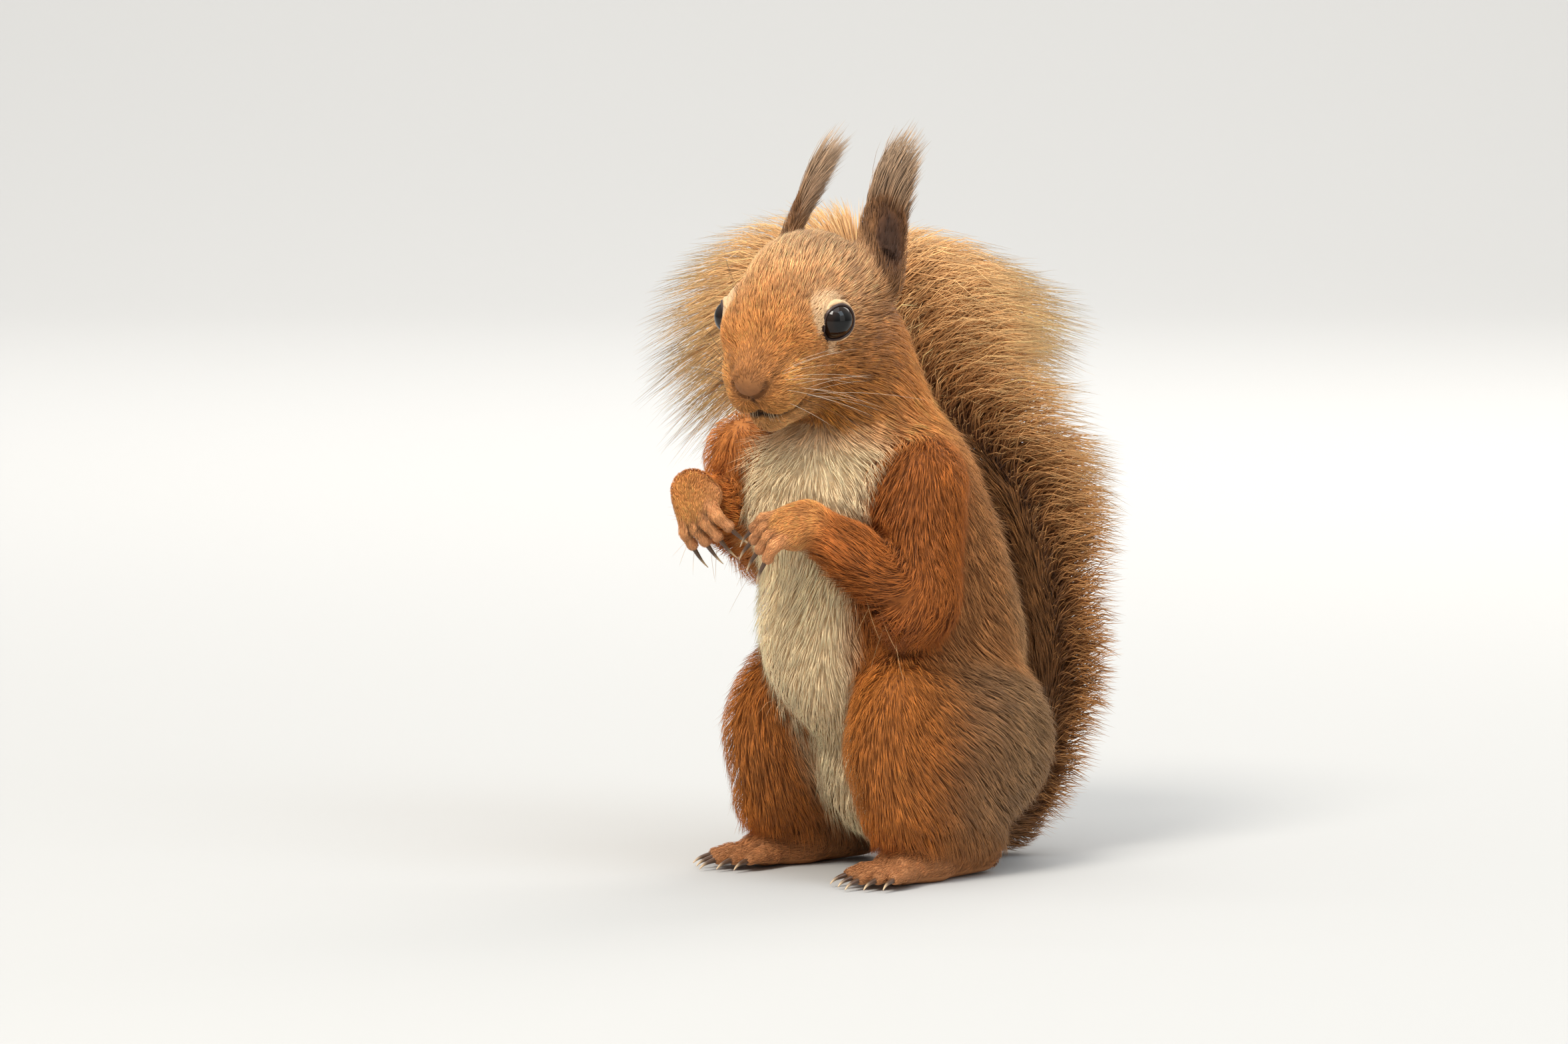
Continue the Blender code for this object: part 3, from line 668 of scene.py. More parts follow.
def markings_and_painted_light(points, normals):
    """The animal's colours at places on its skin, with painted light and shade laid in: a brighter
    far arm, and shade in creases, grooves, the ear hollows and between the fingers.
    """
    table = np.array([mass["hue"] for mass in BODY])
    shares = np.array([[label == name for name in PARTS] for label in PART], dtype=float)
    mixed = blended(points, BODY, np.hstack([table, shares]))
    colour, share = mixed[:, :3], dict(zip(PARTS, mixed[:, 3:].T))
    x, y, z = points.T
    left, forward, up = head_local(points).T

    def lay(mask, hue):
        nonlocal colour
        colour = colour * (1 - mask[:, None]) + hue * mask[:, None]

    # haunches: bright in front, grizzled behind and above
    lay(share["leg"] * ease(-24, 16, y + 5 * wander(points, 11.0)[:, 0]) * 0.75, GRIZZLE * 0.85)
    lay(share["leg"] * (1 - ease(-26, -4, y)) * 0.6, RUST * 1.05)
    lay(share["trunk"] * ease(12, 30, y) * 0.6, GRIZZLE * 0.9)
    # breast, belly and the insides of the thighs
    width = np.interp(z, (0, 30, 60, 85, 105, 120, 132, 140), (10, 11, 13, 16, 19, 17, 12, 8))
    middle = np.interp(z, (0, 60, 100, 138), (0, -1, -3, -4))
    front = ease(0.05, 0.4, -normals[:, 1]) * (1 - ease(width - 1.5, width + 3.5, abs(x - middle)))
    lay(front * np.clip(share["trunk"] * 1.25, 0, 1) * (1 - ease(112, 120, z)), CREAM)
    inner = ease(0.25, 0.7, -normals[:, 0] * np.sign(x)) * share["leg"] * (1 - ease(-6, 6, y))
    lay(inner * (1 - ease(11, 15, abs(x))), CREAM * 0.95)
    # head
    head = np.clip(share["head"] * 1.3, 0, 1)
    lay(head * ease(-2, -12, forward) * ease(4, 12, up) * 0.5, GRIZZLE)
    lay(head * ease(-17, -23, up) * ease(2, 10, forward) * 0.7, BUFF)
    lay(head * ease(-27, -32, up) * 0.9, CREAM)
    reach, angle, turn = eye_reach(points)
    edge = lid_edge(turn)
    wide = np.radians(26.0 + 9.0 * np.cos(turn - math.radians(80.0)))
    ring = ease(edge + 0.04, edge + 0.12, angle) * (1 - ease(edge + wide, edge + wide + 0.2, angle))
    lay(ring * (reach < EYE_RADIUS * 1.75) * 0.9, EYE_RING)
    lay((1 - ease(edge + 0.05, edge + 0.13, angle)) * (reach < EYE_RADIUS * 1.3), DARK)
    swell = norms((np.abs((left, forward, up)).T * (1, 1, -1) - (9.5, 15.0, -9.0))
                  / (5.5, 6.5, 5.0))
    lay(head * (1 - ease(0.5, 1.2, swell)) * (forward > 0) * (up < 0) * 0.7, MUZZLE)
    # painted shadow: the crease between the nose's pad and its bridge laid darker
    lay(head * (1 - ease(0.4, 2.0, nearer_line(points, CREASE))) * 0.6, BRIDGE * 0.3)
    lay(head * (1 - ease(0.7, 1.3, pad_reach(points))), NOSE)
    # painted shade: the nostril slits laid dark, for the shade inside them
    lay((1 - ease(0.35, 1.0, nearer_line(points, NOSTRIL))) * 0.95, DARK * 0.6)
    # the mouth's line laid dark: partly its bare dark lip, partly painted shade in its crease
    lay((1 - ease(0.9, 1.9, line_distance(points, MOUTH))) * 0.97, DARK * 0.5)
    # painted shade: the groove below the nose laid dark
    lay((1 - ease(0.3, 0.9, line_distance(points, PHILTRUM))) * 0.85, DARK * 1.5)
    # painted shade: a dark line laid along the crease at the foot of each ear
    lay((1 - ease(0.8, 2.4, nearer_line(points, EAR_CREASE))) * 0.75, DARK)
    # painted light: the far (right) arm laid brighter, as if lit
    lay(share["arm"] * ease(0, -12, x) * 0.7, FAR_ARM_PAINTED_LIGHT)
    between, close = finger_gap(points)
    lay(close * 0.5, FINGER)
    # painted shade: the lines between the fingers laid dark
    lay(between * 0.75, DARK * 2.0)
    # the ear's hollow takes its own dark skin colour, and painted shade darkens it further towards
    # its middle
    hollow = concha(points)
    lay(ease(0.0, 0.5, hollow), EAR_IN * (1 - 0.55 * ease(0.2, 0.9, hollow))[:, None])
    return colour


# ---------------------------------------------------------------- skin
def mass_shapes():
    """A ball for every mass, and five along every bone."""
    for mass in BODY:
        if mass["end"] is None:
            spots = [(mass["start"], mass["radii"], mass["axes"])]
        else:
            spots = [(mass["start"] * (1 - t) + mass["end"] * t,
                      np.full(3, mass["radii"][0] * (1 - t) + mass["radii"][1] * t), np.eye(3))
                     for t in np.linspace(0.0, 1.0, 5)]
        for centre, radii, axes in spots:
            turn = Matrix(axes.tolist())
            if turn.determinant() < 0:
                turn = turn @ Matrix.Diagonal((-1, 1, 1))
            bpy.ops.mesh.primitive_ico_sphere_add(
                subdivisions=3, radius=1.0, location=to_frame(centre), rotation=turn.to_euler(),
                scale=np.maximum(radii, 1.0) * MM)
            yield bpy.context.object


def make_skin():
    """One skin over the whole body, with sockets, lids, nostrils, mouth and ear hollows."""
    activate(*mass_shapes())
    bpy.ops.object.join()
    skin = bpy.context.object
    skin.name = "skin"
    settle(skin)
    modify(skin, "REMESH", mode="VOXEL", voxel_size=SKIN_GRAIN)
    modify(skin, "SMOOTH", iterations=3)
    points = carve_face(rise_to(vertex_places(skin.data), BODY, 0.0, 3))
    points[:, 2] = np.maximum(points[:, 2], FOOT_CLEARANCE)
    move_points(skin.data, points)
    fine = np.zeros(len(points))
    for label, mass in zip(PART, BODY):
        if label in ("head", "hand", "foot", "ear"):
            gap, _ = distance(mass, points)
            fine = np.maximum(fine, gap < 1.5)
    plain = skin.vertex_groups.new(name="plain")
    plain.add(np.flatnonzero(fine < 0.5).tolist(), 1.0, "REPLACE")
    modify(skin, "DECIMATE", ratio=SKIN_KEPT, vertex_group="plain", use_collapse_triangulate=True)
    skin.vertex_groups.clear()
    bpy.ops.object.shade_smooth()
    points, normals = vertex_places(skin.data), vertex_normals(skin.data)
    # painted shade under the coat: skin under hair laid a quarter darker than bare skin
    shade = 0.75 + 0.25 * bare(points, normals)
    colour_points(skin.data, markings_and_painted_light(points, normals) * shade[:, None])
    return skin


def carve_face(points):
    """Shape the sockets and lids, the nostrils, the mouth and the hollows of the ears."""
    for side in SIDES:
        length, angle, turn = from_eye(points, side)
        edge = lid_edge(turn)
        lid = np.interp(angle - edge, (-0.10, 0.03, 0.16, 0.45, 0.9), (-1.1, 0.25, 0.75, 0.7, 0.5))
        hold = 1 - ease(edge + 0.25, edge + 1.0, angle)
        hold *= 1 - ease(EYE_RADIUS * 1.6, EYE_RADIUS * 2.2, length)
        target = length * (1 - hold) + (EYE_RADIUS + lid) * hold
        centre = eye_centre(side)
        points = centre + (points - centre) * (target / length)[:, None]
    inward = head_way(0, -1, 0.1)
    slit = 1 - ease(0.3, 1.0, nearer_line(points, NOSTRIL))
    points = points + inward * (slit * 1.1)[:, None]
    grooves = [(line, 0.2, 2.0, 0.6, inward) for line in CREASE]
    grooves += [(MOUTH, 0.3, 1.3, 1.3, head_way(0, -1.0, 0.3)), (PHILTRUM, 0.2, 0.9, 0.55, inward)]
    for line, floor, edge, depth, way in grooves:
        groove = 1 - ease(floor, edge, line_distance(points, line))
        points = points + way * (groove * depth)[:, None]
    hollow = concha(points)
    for side in SIDES:
        root, axes = ear_frame(side)
        facing = ear_facing(side)
        near = norms(points - root - axes[:, 2] * EAR_HOLLOW_UP) < 20
        fronts = ((points - root) @ facing) > 0.0
        points = points - facing * (hollow * near * fronts * 2.6)[:, None]
    return points


# ---------------------------------------------------------------- strands
def strand_mesh(name, paths, radii, colours, facing, homes):
    """Closed tapering strands as one mesh; homes are their places on the skin's unwrap."""
    count, rings = paths.shape[0], paths.shape[1]
    paths[:, :, 2] = np.maximum(paths[:, :, 2], HAIR_CLEARANCE)
    step = np.empty_like(paths)
    step[:, 1:-1] = paths[:, 2:] - paths[:, :-2]
    step[:, 0] = paths[:, 1] - paths[:, 0]
    step[:, -1] = paths[:, -1] - paths[:, -2]
    step /= norms(step)[:, :, None] + 1e-12
    side = np.cross(step, facing[:, None, :])
    side /= norms(side)[:, :, None] + 1e-12
    over = np.cross(step, side)
    turns = np.arange(3) * 2 * math.pi / 3 + math.pi / 6
    ring = (side[:, :-1, None, :] * np.cos(turns)[:, None]
            + over[:, :-1, None, :] * np.sin(turns)[:, None] * FLAT_HAIR)
    ring = paths[:, :-1, None, :] + ring * radii[:, :, None, None]
    flat = ring.reshape(count, (rings - 1) * 3, 3)
    points = np.concatenate([flat, paths[:, -1:, :]], axis=1)
    each = (rings - 1) * 3 + 1
    faces, rows, columns = [(0, 2, 1)], [(0, 0, 0)], [(0, 2, 1)]
    for row in range(rings - 2):
        for j in range(3):
            k = (j + 1) % 3
            low, high = row * 3, row * 3 + 3
            faces += [(low + j, low + k, high + k), (low + j, high + k, high + j)]
            rows += [(row, row, row + 1), (row, row + 1, row + 1)]
            columns += [(j, j + 1, j + 1), (j, j + 1, j)]
    low = (rings - 2) * 3
    for j in range(3):
        faces.append((low + j, low + (j + 1) % 3, each - 1))
        rows.append((rings - 2, rings - 2, rings - 1))
        columns.append((j, j + 1, j + 0.5))
    faces = np.array(faces)
    corner = (faces[None] + (np.arange(count) * each)[:, None, None]).ravel()
    mesh = bpy.data.meshes.new(name)
    mesh.vertices.add(count * each)
    mesh.vertices.foreach_set("co", to_frame(points.reshape(-1, 3)).ravel())
    mesh.loops.add(len(corner))
    mesh.loops.foreach_set("vertex_index", corner)
    mesh.polygons.add(len(corner) // 3)
    mesh.polygons.foreach_set("loop_start", np.arange(0, len(corner), 3))
    mesh.polygons.foreach_set("use_smooth", np.ones(len(corner) // 3, dtype=bool))
    patch = np.stack([np.array(columns).ravel() / 3.0, np.array(rows).ravel() / (rings - 1.0)],
                     axis=1)
    places = homes[:, None, :] + (patch[None] - 0.5) * BAKE_PATCH
    mesh.uv_layers.new(name="OFBake").data.foreach_set("uv", places.ravel())
    mesh.update(calc_edges=True)
    tints = np.repeat(colours, 3, axis=1)[:, :each]
    colour_points(mesh, tints.reshape(-1, 3))
    piece = bpy.data.objects.new(name, mesh)
    bpy.context.scene.collection.objects.link(piece)
    return piece


def in_pieces(name, most, chosen, strands):
    """Strands as several meshes with a limit to the strands in each."""
    parts = np.array_split(chosen, max(1, math.ceil(len(chosen) / most)))
    return [strand_mesh(f"{name}_{number}", *(values[some] for values in strands))
            for number, some in enumerate(parts, 1)]


class Ground:
    """The skin as ground for the coat: its surface, and where each place lies on its unwrap."""

    def __init__(self, skin):
        self.points, self.normals = vertex_places(skin.data), vertex_normals(skin.data)
        self.faces = triangles_of(skin.data)
        a, b, c = (self.points[self.faces[:, k]] for k in range(3))
        self.areas = norms(np.cross(b - a, c - a)) / 2
        self.centres = (a + b + c) / 3
        self.unwrap(skin)

    def unwrap(self, skin):
        """Unwrap a lighter copy of the skin."""
        copy = skin.copy()
        copy.data = skin.data.copy()
        bpy.context.scene.collection.objects.link(copy)
        activate(copy)
        modify(copy, "DECIMATE", ratio=UNWRAP_KEPT)
        in_edit_mode(lambda: bpy.ops.uv.smart_project(angle_limit=math.radians(66),
                                                      island_margin=0.004))
        self.layer = rows_of(copy.data.uv_layers.active.data, "uv", 2).reshape(-1, 3, 2)
        places, faces = vertex_places(copy.data), triangles_of(copy.data)
        self.corners = places[faces]
        self.tree = BVHTree.FromPolygons(places.tolist(), faces.tolist())
        bpy.data.objects.remove(copy)

    def homes(self, points):
        """Where each point lies on the unwrap."""
        found = np.array([self.tree.find_nearest(point)[2] for point in points.tolist()])
        a, b, c = self.corners[found].transpose(1, 0, 2)
        ab, ac, ap = b - a, c - a, points - a
        d00, d01, d11 = (ab * ab).sum(1), (ab * ac).sum(1), (ac * ac).sum(1)
        d20, d21 = (ap * ab).sum(1), (ap * ac).sum(1)
        scale = d00 * d11 - d01 * d01 + 1e-12
        v = np.clip((d11 * d20 - d01 * d21) / scale, 0, 1)
        w = np.clip((d00 * d21 - d01 * d20) / scale, 0, 1)
        share = np.stack([1 - v - w, v, w], axis=1)
        return (self.layer[found] * share[:, :, None]).sum(axis=1)

    def scatter(self, weights, count):
        """Evenly spread roots, more where the weights are high, with normals."""
        total = np.cumsum(weights * self.areas)
        ticks = (np.arange(count) + DRAW.random(count)) / count * total[-1]
        face = np.minimum(np.searchsorted(total, ticks), len(self.faces) - 1)
        u, v = np.sqrt(DRAW.random(count)), DRAW.random(count)
        share = np.stack([1 - u, u * (1 - v), u * v], axis=1)[:, :, None]
        corner = self.faces[face]
        points = (self.points[corner] * share).sum(axis=1)
        return points, unit((self.normals[corner] * share).sum(axis=1))


# ---------------------------------------------------------------- coat
def coat_depth(points):
    """Depth of the coat at each place, shorter round the eyes, mouth and nose."""
    depth = blended(points, BODY, np.array([[mass["coat"]] for mass in BODY]))[:, 0]
    reach, angle, turn = eye_reach(points)
    close = 1 - ease(lid_edge(turn) + 0.1, lid_edge(turn) + 0.9, angle)
    close *= 1 - ease(EYE_RADIUS * 1.3, EYE_RADIUS * 2.2, reach)
    depth = depth * (1 - 0.75 * close)
    lips = np.minimum(line_distance(points, MOUTH), line_distance(points, PHILTRUM))
    return depth * (0.45 + 0.55 * ease(0.5, 3.0, lips))


def bare(points, normals):
    """Share of hair missing at each place: eyes, nose, mouth, ear hollows and soles."""
    reach, angle, turn = eye_reach(points)
    gone = (angle < lid_edge(turn) + 0.13) & (reach < EYE_RADIUS * 1.35)
    gone = np.maximum(gone, 1 - ease(0.4, 0.8, nearer_line(points, NOSTRIL)))
    gone = np.maximum(gone, 1 - ease(1.1, 1.6, line_distance(points, MOUTH)))
    gone = np.maximum(gone, 1 - ease(0.7, 1.25, pad_reach(points)))
    gone = np.maximum(gone, 0.85 * ease(0.05, 0.55, concha(points)))
    fingers = blended(points, BODY, KNUCKLES, 0.6)[:, 0]
    gone = np.maximum(gone, 0.55 * fingers)
    sole = (points[:, 2] < 2.0) & (normals[:, 2] < -0.6)
    return np.maximum(gone, sole * 1.0)


def locks(roots, spacing):
    """For each tuft, the tuft at the middle of its lock."""
    heads = DRAW.permutation(len(roots))[:max(len(roots) // spacing, 1)]
    tree = KDTree(len(heads))
    for number, head in enumerate(heads):
        tree.insert(roots[head], number)
    tree.balance()
    return heads[np.array([tree.find(root)[1] for root in roots.tolist()])]


def clumped(paths, steps, spacing, pull):
    """Draw the ends of neighbouring hairs together, as locks of hair do."""
    tips = paths[:, -1]
    nearest = locks(tips, spacing)
    tips = tips + (tips[nearest] - tips) * pull[:, None]
    return paths + (tips - paths[:, -1])[:, None, :] * (steps ** 1.5)[None, :, None]


def wander(points, size):
    """A slow, smooth change of direction over the body, in three waves."""
    a, b, c = (points / size).T
    return np.stack([np.sin(1.3 * a + 2.1 * b) + np.sin(0.7 * c - 1.9 * a + 1.0),
                     np.sin(1.7 * b - 1.1 * c + 2.0) + np.sin(2.3 * a + 0.6 * b),
                     np.sin(1.1 * c + 1.6 * a + 4.0) + np.sin(0.9 * b - 2.2 * c)], axis=1) / 2


def coat_weights(ground):
    """How densely tufts stand on each face of the skin: closer where they are short and fine."""
    depth = coat_depth(ground.centres)
    normals = unit(ground.normals[ground.faces].mean(axis=1))
    length = 1.0 + 2.2 * depth
    width = 0.15 + 0.075 * depth
    weights = (1 - bare(ground.centres, normals)) / (length * width)
    thin = {"foot": 0.26, "hand": 0.6, "ear": 0.55}       # short hair needs fewer tufts
    share = np.array([[thin.get(name, 1.0)] for name in PART])
    return weights * blended(ground.centres, BODY, share)[:, 0]


def free_length(roots):
    """How long a tuft may be at each root before it crosses the lids, mouth or nostrils."""
    reach, angle, turn = eye_reach(roots)
    lids = np.where(reach < EYE_RADIUS * 2.0, (angle - lid_edge(turn)) * EYE_RADIUS, 9.0)
    room = np.minimum(line_distance(roots, MOUTH) - 0.9, nearer_line(roots, NOSTRIL) - 0.2)
    return np.maximum(np.minimum(room, lids), 0.4)


def coat_hues(roots, normals, on_head, lock):
    """Colours of each tuft's root, middle and tip, some paler and some darker than the skin."""
    count = len(roots)
    hue = markings_and_painted_light(roots, normals)
    pale = hue.mean(axis=1) > 0.45
    varied = np.where(pale, 0.05, 0.17 + 0.10 * on_head)
    each = 0.5 + 0.35 * on_head
    bright = DRAW.normal(0, 1, count) * each * varied
    bright += DRAW.normal(0, 1, count)[lock] * varied * (1.25 - each)
    bright = np.exp(bright + wander(roots, 5.0)[:, 0] * 0.08)[:, None]
    chance = np.where(on_head > 0.5, DRAW.random(count), DRAW.random(count)[lock])
    tip_tone = np.where(chance > 0.68, 1.5 + 0.45 * on_head, 1.12)
    tip_tone = np.where(pale, 1.08, tip_tone)[:, None]
    root_tone = np.where(pale[:, None], 0.95, 0.58)
    return np.stack([hue * root_tone, hue * bright, np.minimum(hue * bright * tip_tone, 0.92)],
                    axis=1)


def make_coat(ground):
    """Tufts over the whole body except the brush of the tail and the tufts of the ears."""
    count = COAT_TUFTS
    roots, normals = ground.scatter(coat_weights(ground), count)
    depth = coat_depth(roots)
    table = np.array([np.append(mass["lie"], [label == name for name in PARTS])
                      for mass, label in zip(BODY, PART)])
    mixed = blended(roots, BODY, table)
    lie, share = mixed[:, :3], mixed[:, 3:]
    lie = lie + wander(roots, 9.0) * 0.28 + DRAW.normal(0, 0.10, lie.shape)
    lie = unit(lie - normals * (lie * normals).sum(axis=1)[:, None])
    stray = DRAW.random(count) > STRAY
    hang = 1.0 + 0.9 * share[:, PARTS.index("arm")] * ease(0.1, -0.6, normals[:, 2])
    length = (1.1 + 2.4 * depth) * DRAW.uniform(0.75, 1.15, count) * np.where(stray, 1.25, 1)
    length = np.minimum(length * hang, free_length(roots))
    tips = rise_to(roots + lie * length[:, None] + normals * depth[:, None], BODY,
                   depth * hang * np.where(stray, 1.35, DRAW.uniform(0.65, 1.05, count)), 3)
    lock = locks(roots, 9)
    tips = tips + (tips[lock] - tips) * (0.45 * DRAW.random(count))[:, None]
    middles = rise_to((roots + tips) / 2 + normals * (depth * 0.3)[:, None], BODY,
                      depth * DRAW.uniform(0.50, 0.68, count), 2)
    paths = np.stack([roots - normals * 0.25, middles, tips], axis=1)
    thick = (0.135 + 0.029 * depth) * DRAW.uniform(0.7, 1.25, count) / 2
    thick *= np.where(stray, 0.6, 1.0)
    radii = np.stack([thick * 0.8, thick], axis=1)
    on_head = share[:, PARTS.index("head")] + 0.6 * share[:, PARTS.index("hand")]
    hues = coat_hues(roots, normals, on_head, lock)
    strands = (paths, radii, hues, normals, ground.homes(roots))
    region = share.argmax(axis=1)
    return [piece for number, name in enumerate(PARTS)
            for piece in in_pieces("coat_" + COAT_NAMES[name], PIECE_TUFTS,
                                   np.flatnonzero(region == number), strands)]


def reach_in_brush(roots, way):
    """How far each hair can go before it leaves the outline of the brush."""
    brush = tail_brush()
    reach = np.full(len(roots), 12.0)
    for step in np.linspace(8.0, 74.0, 23):
        total = sum(np.exp(np.clip(-distance(mass, roots + way * step)[0] / 2.5, -60, 20))
                    for mass in brush)
        reach = np.where(total > 1.0, step, reach)
    return reach


def brush_hues(place):
    """Colours of each long hair at four places along it, paler towards the tail's tip."""
    light = ease(0.30, 0.75, place)[:, None]
    bright = np.exp(DRAW.normal(0, 0.16, len(place)))[:, None]
    deep = TAIL_DEEP * (0.75 + 0.35 * light)
    middle = (TAIL_DEEP * 1.15) * (1 - light) + TAIL_MID * light
    end = TAIL_MID * 0.95 * (1 - light) + TAIL_TIP * light
    ramp = [deep * 0.9, deep * 0.6 + middle * 0.4, middle * 0.65 + end * 0.35, end]
    return np.stack([np.minimum(tint * bright, 0.9) for tint in ramp], axis=1)


def make_brush(ground):
    """The tail's long hair, which fans out from its core to the outline of the brush."""
    count = TAIL_HAIRS
    spots, widths = zip(*TAIL_WIDTH)
    grid = np.linspace(0.10, 0.97, 200)
    crowd = np.interp(grid, spots, widths) ** 1.25 * (1 + 0.8 * ease(0.8, 0.97, grid))
    crowd = np.cumsum(crowd) / crowd.sum()
    place = np.interp((np.arange(count) + DRAW.random(count)) / count, crowd, grid)
    across, through, along = tail_axes(place)
    core = rachis(place)
    sign = np.where(DRAW.random(count) > 0.5, 1.0, -1.0)
    fan = ease(0.62, 0.95, place)       # towards the tip the hair turns to every side
    cover = DRAW.random(count) < 0.28   # shorter hair that hides the core
    swing = DRAW.normal(66.0, 11.0, count) * (1 - fan) + DRAW.uniform(-6.0, 118.0, count) * fan
    swing += 38.0 * ease(0.42, 0.60, place) * (1 - ease(0.66, 0.90, place)) * (sign > 0)
    swing += 14.0 * fan * (sign < 0) * DRAW.random(count)
    swing = np.radians(np.where(cover, swing * 0.55, swing))
    depth = DRAW.normal(0.0, np.where(cover, 0.38, 0.16), count)
    way = unit(across * (sign * np.sin(swing))[:, None] + along * np.cos(swing)[:, None]
               + through * depth[:, None])
    roots = core + through * DRAW.uniform(-1.5, 1.5, count)[:, None] + across * sign[:, None]
    length = reach_in_brush(roots, way) * np.minimum(DRAW.beta(5.0, 1.6, count) * 1.22, 1.10)
    length *= np.where(cover, DRAW.uniform(0.35, 0.8, count), 1.0)
    length *= 1.0 + 0.12 * ease(0.50, 0.60, place) * (1 - ease(0.72, 0.82, place)) * (sign > 0)
    length *= 1.0 + 0.12 * fan * (sign < 0) - 0.10 * ease(0.84, 0.95, place) * (sign > 0)
    length = np.maximum(length, 8.0)
    sag = np.array((0.0, 0.0, -1.0))
    bow = through * DRAW.normal(0, 0.05, count)[:, None] + along * 0.10 - sag * 0.04
    droop = 0.07 + 0.15 * ease(0.50, 0.65, place) * (1 - ease(0.85, 0.97, place)) * (sign > 0)
    steps = np.linspace(0.0, 1.0, 4)
    paths = [roots + way * (length * s)[:, None] + bow * (length * 4 * s * (1 - s))[:, None]
             + sag * (length * droop * s * s)[:, None] for s in steps]
    paths = clumped(np.stack(paths, axis=1), steps, 7,
                    (0.16 + 0.20 * fan) * DRAW.random(count))
    thick = DRAW.uniform(0.12, 0.22, count)
    radii = thick[:, None] * np.array((1.0, 1.05, 0.72))[None, :]
    return in_pieces("coat_tail", PIECE_HAIRS, np.argsort(place),
                     (paths, radii, brush_hues(place), through, ground.homes(roots)))


def make_ear_tufts(ground):
    """Long hair that stands off the upper part of each ear and sweeps back."""
    pieces = []
    for side, sign in SIDES.items():
        root, axes = ear_frame(side)
        count = EAR_HAIRS
        rise = axes[:, 2]
        sweep = head_way(TUFT_SWEEP[0] * sign, *TUFT_SWEEP[1:])
        high = DRAW.beta(2.2, 1.5, count)
        turn = DRAW.uniform(0, 2 * math.pi, count)
        level = 0.05 + 0.93 * high
        wide = np.sqrt(np.clip(1 - level ** 2, 0.0, 1.0))
        local = np.stack([6.2 * wide * np.cos(turn), 1.8 * wide * np.sin(turn),
                          EAR_LENGTH / 2 * level], axis=1)
        front = np.sign(axes[:, 1] @ ear_facing(side))
        inner = (local[:, 1] * front > 0.3) & (level < DRAW.uniform(0.5, 0.95, count))
        local[:, 1] = np.where(inner, -local[:, 1], local[:, 1])
        roots = root + rise * EAR_LENGTH / 2 + local @ axes.T
        outward = unit(local / np.array((6.2, 1.8, 13.5)) ** 2 @ axes.T)
        length = (5.0 + 18.0 * high ** 1.4) * DRAW.uniform(0.75, 1.12, count)
        spread = DRAW.normal(0, 0.05, (count, 3))
        first = unit(rise * 1.0 + outward * 0.14 + spread)
        last = unit(rise * 0.10 + sweep + HEAD[:, 0] * 0.34 + spread * 1.6)
        steps = np.linspace(0, 1, 5)
        paths = [roots + first * (s - s * s / 2) * length[:, None]
                 + last * (s * s / 2) * length[:, None] for s in steps]
        paths = clumped(np.stack(paths, axis=1), steps, 8, 0.5 * DRAW.random(count))
        thick = DRAW.uniform(0.10, 0.18, count)
        radii = thick[:, None] * np.array((1.0, 1.05, 0.9, 0.65))[None, :]
        bright = np.exp(DRAW.normal(0, 0.18, count))[:, None]
        pale = 0.25 + 0.75 * high[:, None]
        hues = np.stack([(EAR_BACK * (1 - s * pale) + TUFT * s * pale) * bright * (0.8 + 0.35 * s)
                         for s in (0.0, 0.45, 0.75, 0.9, 1.0)], axis=1)
        pieces.append(strand_mesh("ear_tuft_" + side, paths, radii, hues, outward,
                                  ground.homes(roots)))
    return pieces


def make_whiskers(ground):
    """Whiskers of the muzzle and brow, bristles of the lip, and long hairs of the wrists."""
    hairs = []                          # root, way, length, tint, width and bend of each
    down, back = np.array((0.0, 0.0, -1.0)), head_way(0, -1, 0)
    for side, sign in SIDES.items():
        for row in range(4):
            for column in range(5):
                place = in_head((5.6 + 0.9 * column * 0.4) * sign, 17.0 - 1.7 * column,
                                -9.3 - 1.5 * row)
                way = head_way(sign * (0.75 + 0.05 * row), -0.25 - 0.16 * column + 0.1 * row,
                               0.30 - 0.22 * row + DRAW.normal(0, 0.06))
                pale = DRAW.random() < (0.8 if side == "left" else 0.15)
                tint, width = (WHISKER_PALE, 0.045) if pale else (WHISKER_DARK, 0.055)
                hairs.append((place, way, DRAW.uniform(14, 34) * (0.65 + 0.1 * column), tint, width,
                              down * 0.22 + back * 0.12))
        for number in range(3):
            hairs.append((in_head((9.5 + number) * sign, 3.0 - 2 * number, 6.5),
                          head_way(sign * 0.5, -0.2, 0.9), DRAW.uniform(7, 12), BROW_HAIR, 0.05,
                          back * 0.3))
        wrist, elbow = vector(WRIST[side]), vector(ELBOW[side])
        for _ in range(9):
            share = DRAW.uniform(0.05, 0.95)
            way = np.array((DRAW.normal(-0.1, 0.35), DRAW.normal(-0.3, 0.3), -1.0))
            hairs.append((elbow * (1 - share) + wrist * share + down * 4.5, way,
                          DRAW.uniform(9, 19), WRIST_HAIR, 0.08, np.array((0.1, 0.05, 0.1))))
    for _ in range(22):
        left = DRAW.uniform(-6.4, 6.4)
        hairs.append((in_head(left, 19.2 - 0.09 * left * left, -17.0 + DRAW.normal(0, 0.2)),
                      head_way(left * 0.05, 0.12, -1.0), DRAW.uniform(1.6, 3.2), LIP_HAIR, 0.045,
                      back * 0.2))
    roots, ways, lengths, tints, widths, bends = (np.array(column) for column in zip(*hairs))
    roots = rise_to(roots, BODY, 0.0, 4)
    ways /= norms(ways)[:, None]
    paths = np.stack([roots + ways * (lengths * s)[:, None] + bends * (lengths * s * s)[:, None]
                      for s in np.linspace(0, 1, 8)], axis=1)
    radii = widths[:, None] * np.linspace(1.0, 0.45, 7)[None, :]
    hues = np.repeat(tints[:, None, :], 8, axis=1)
    facing = unit(np.cross(ways, np.array((0.3, 0.5, 0.8))))
    return [strand_mesh("whiskers", paths, radii, hues, facing, ground.homes(roots))]


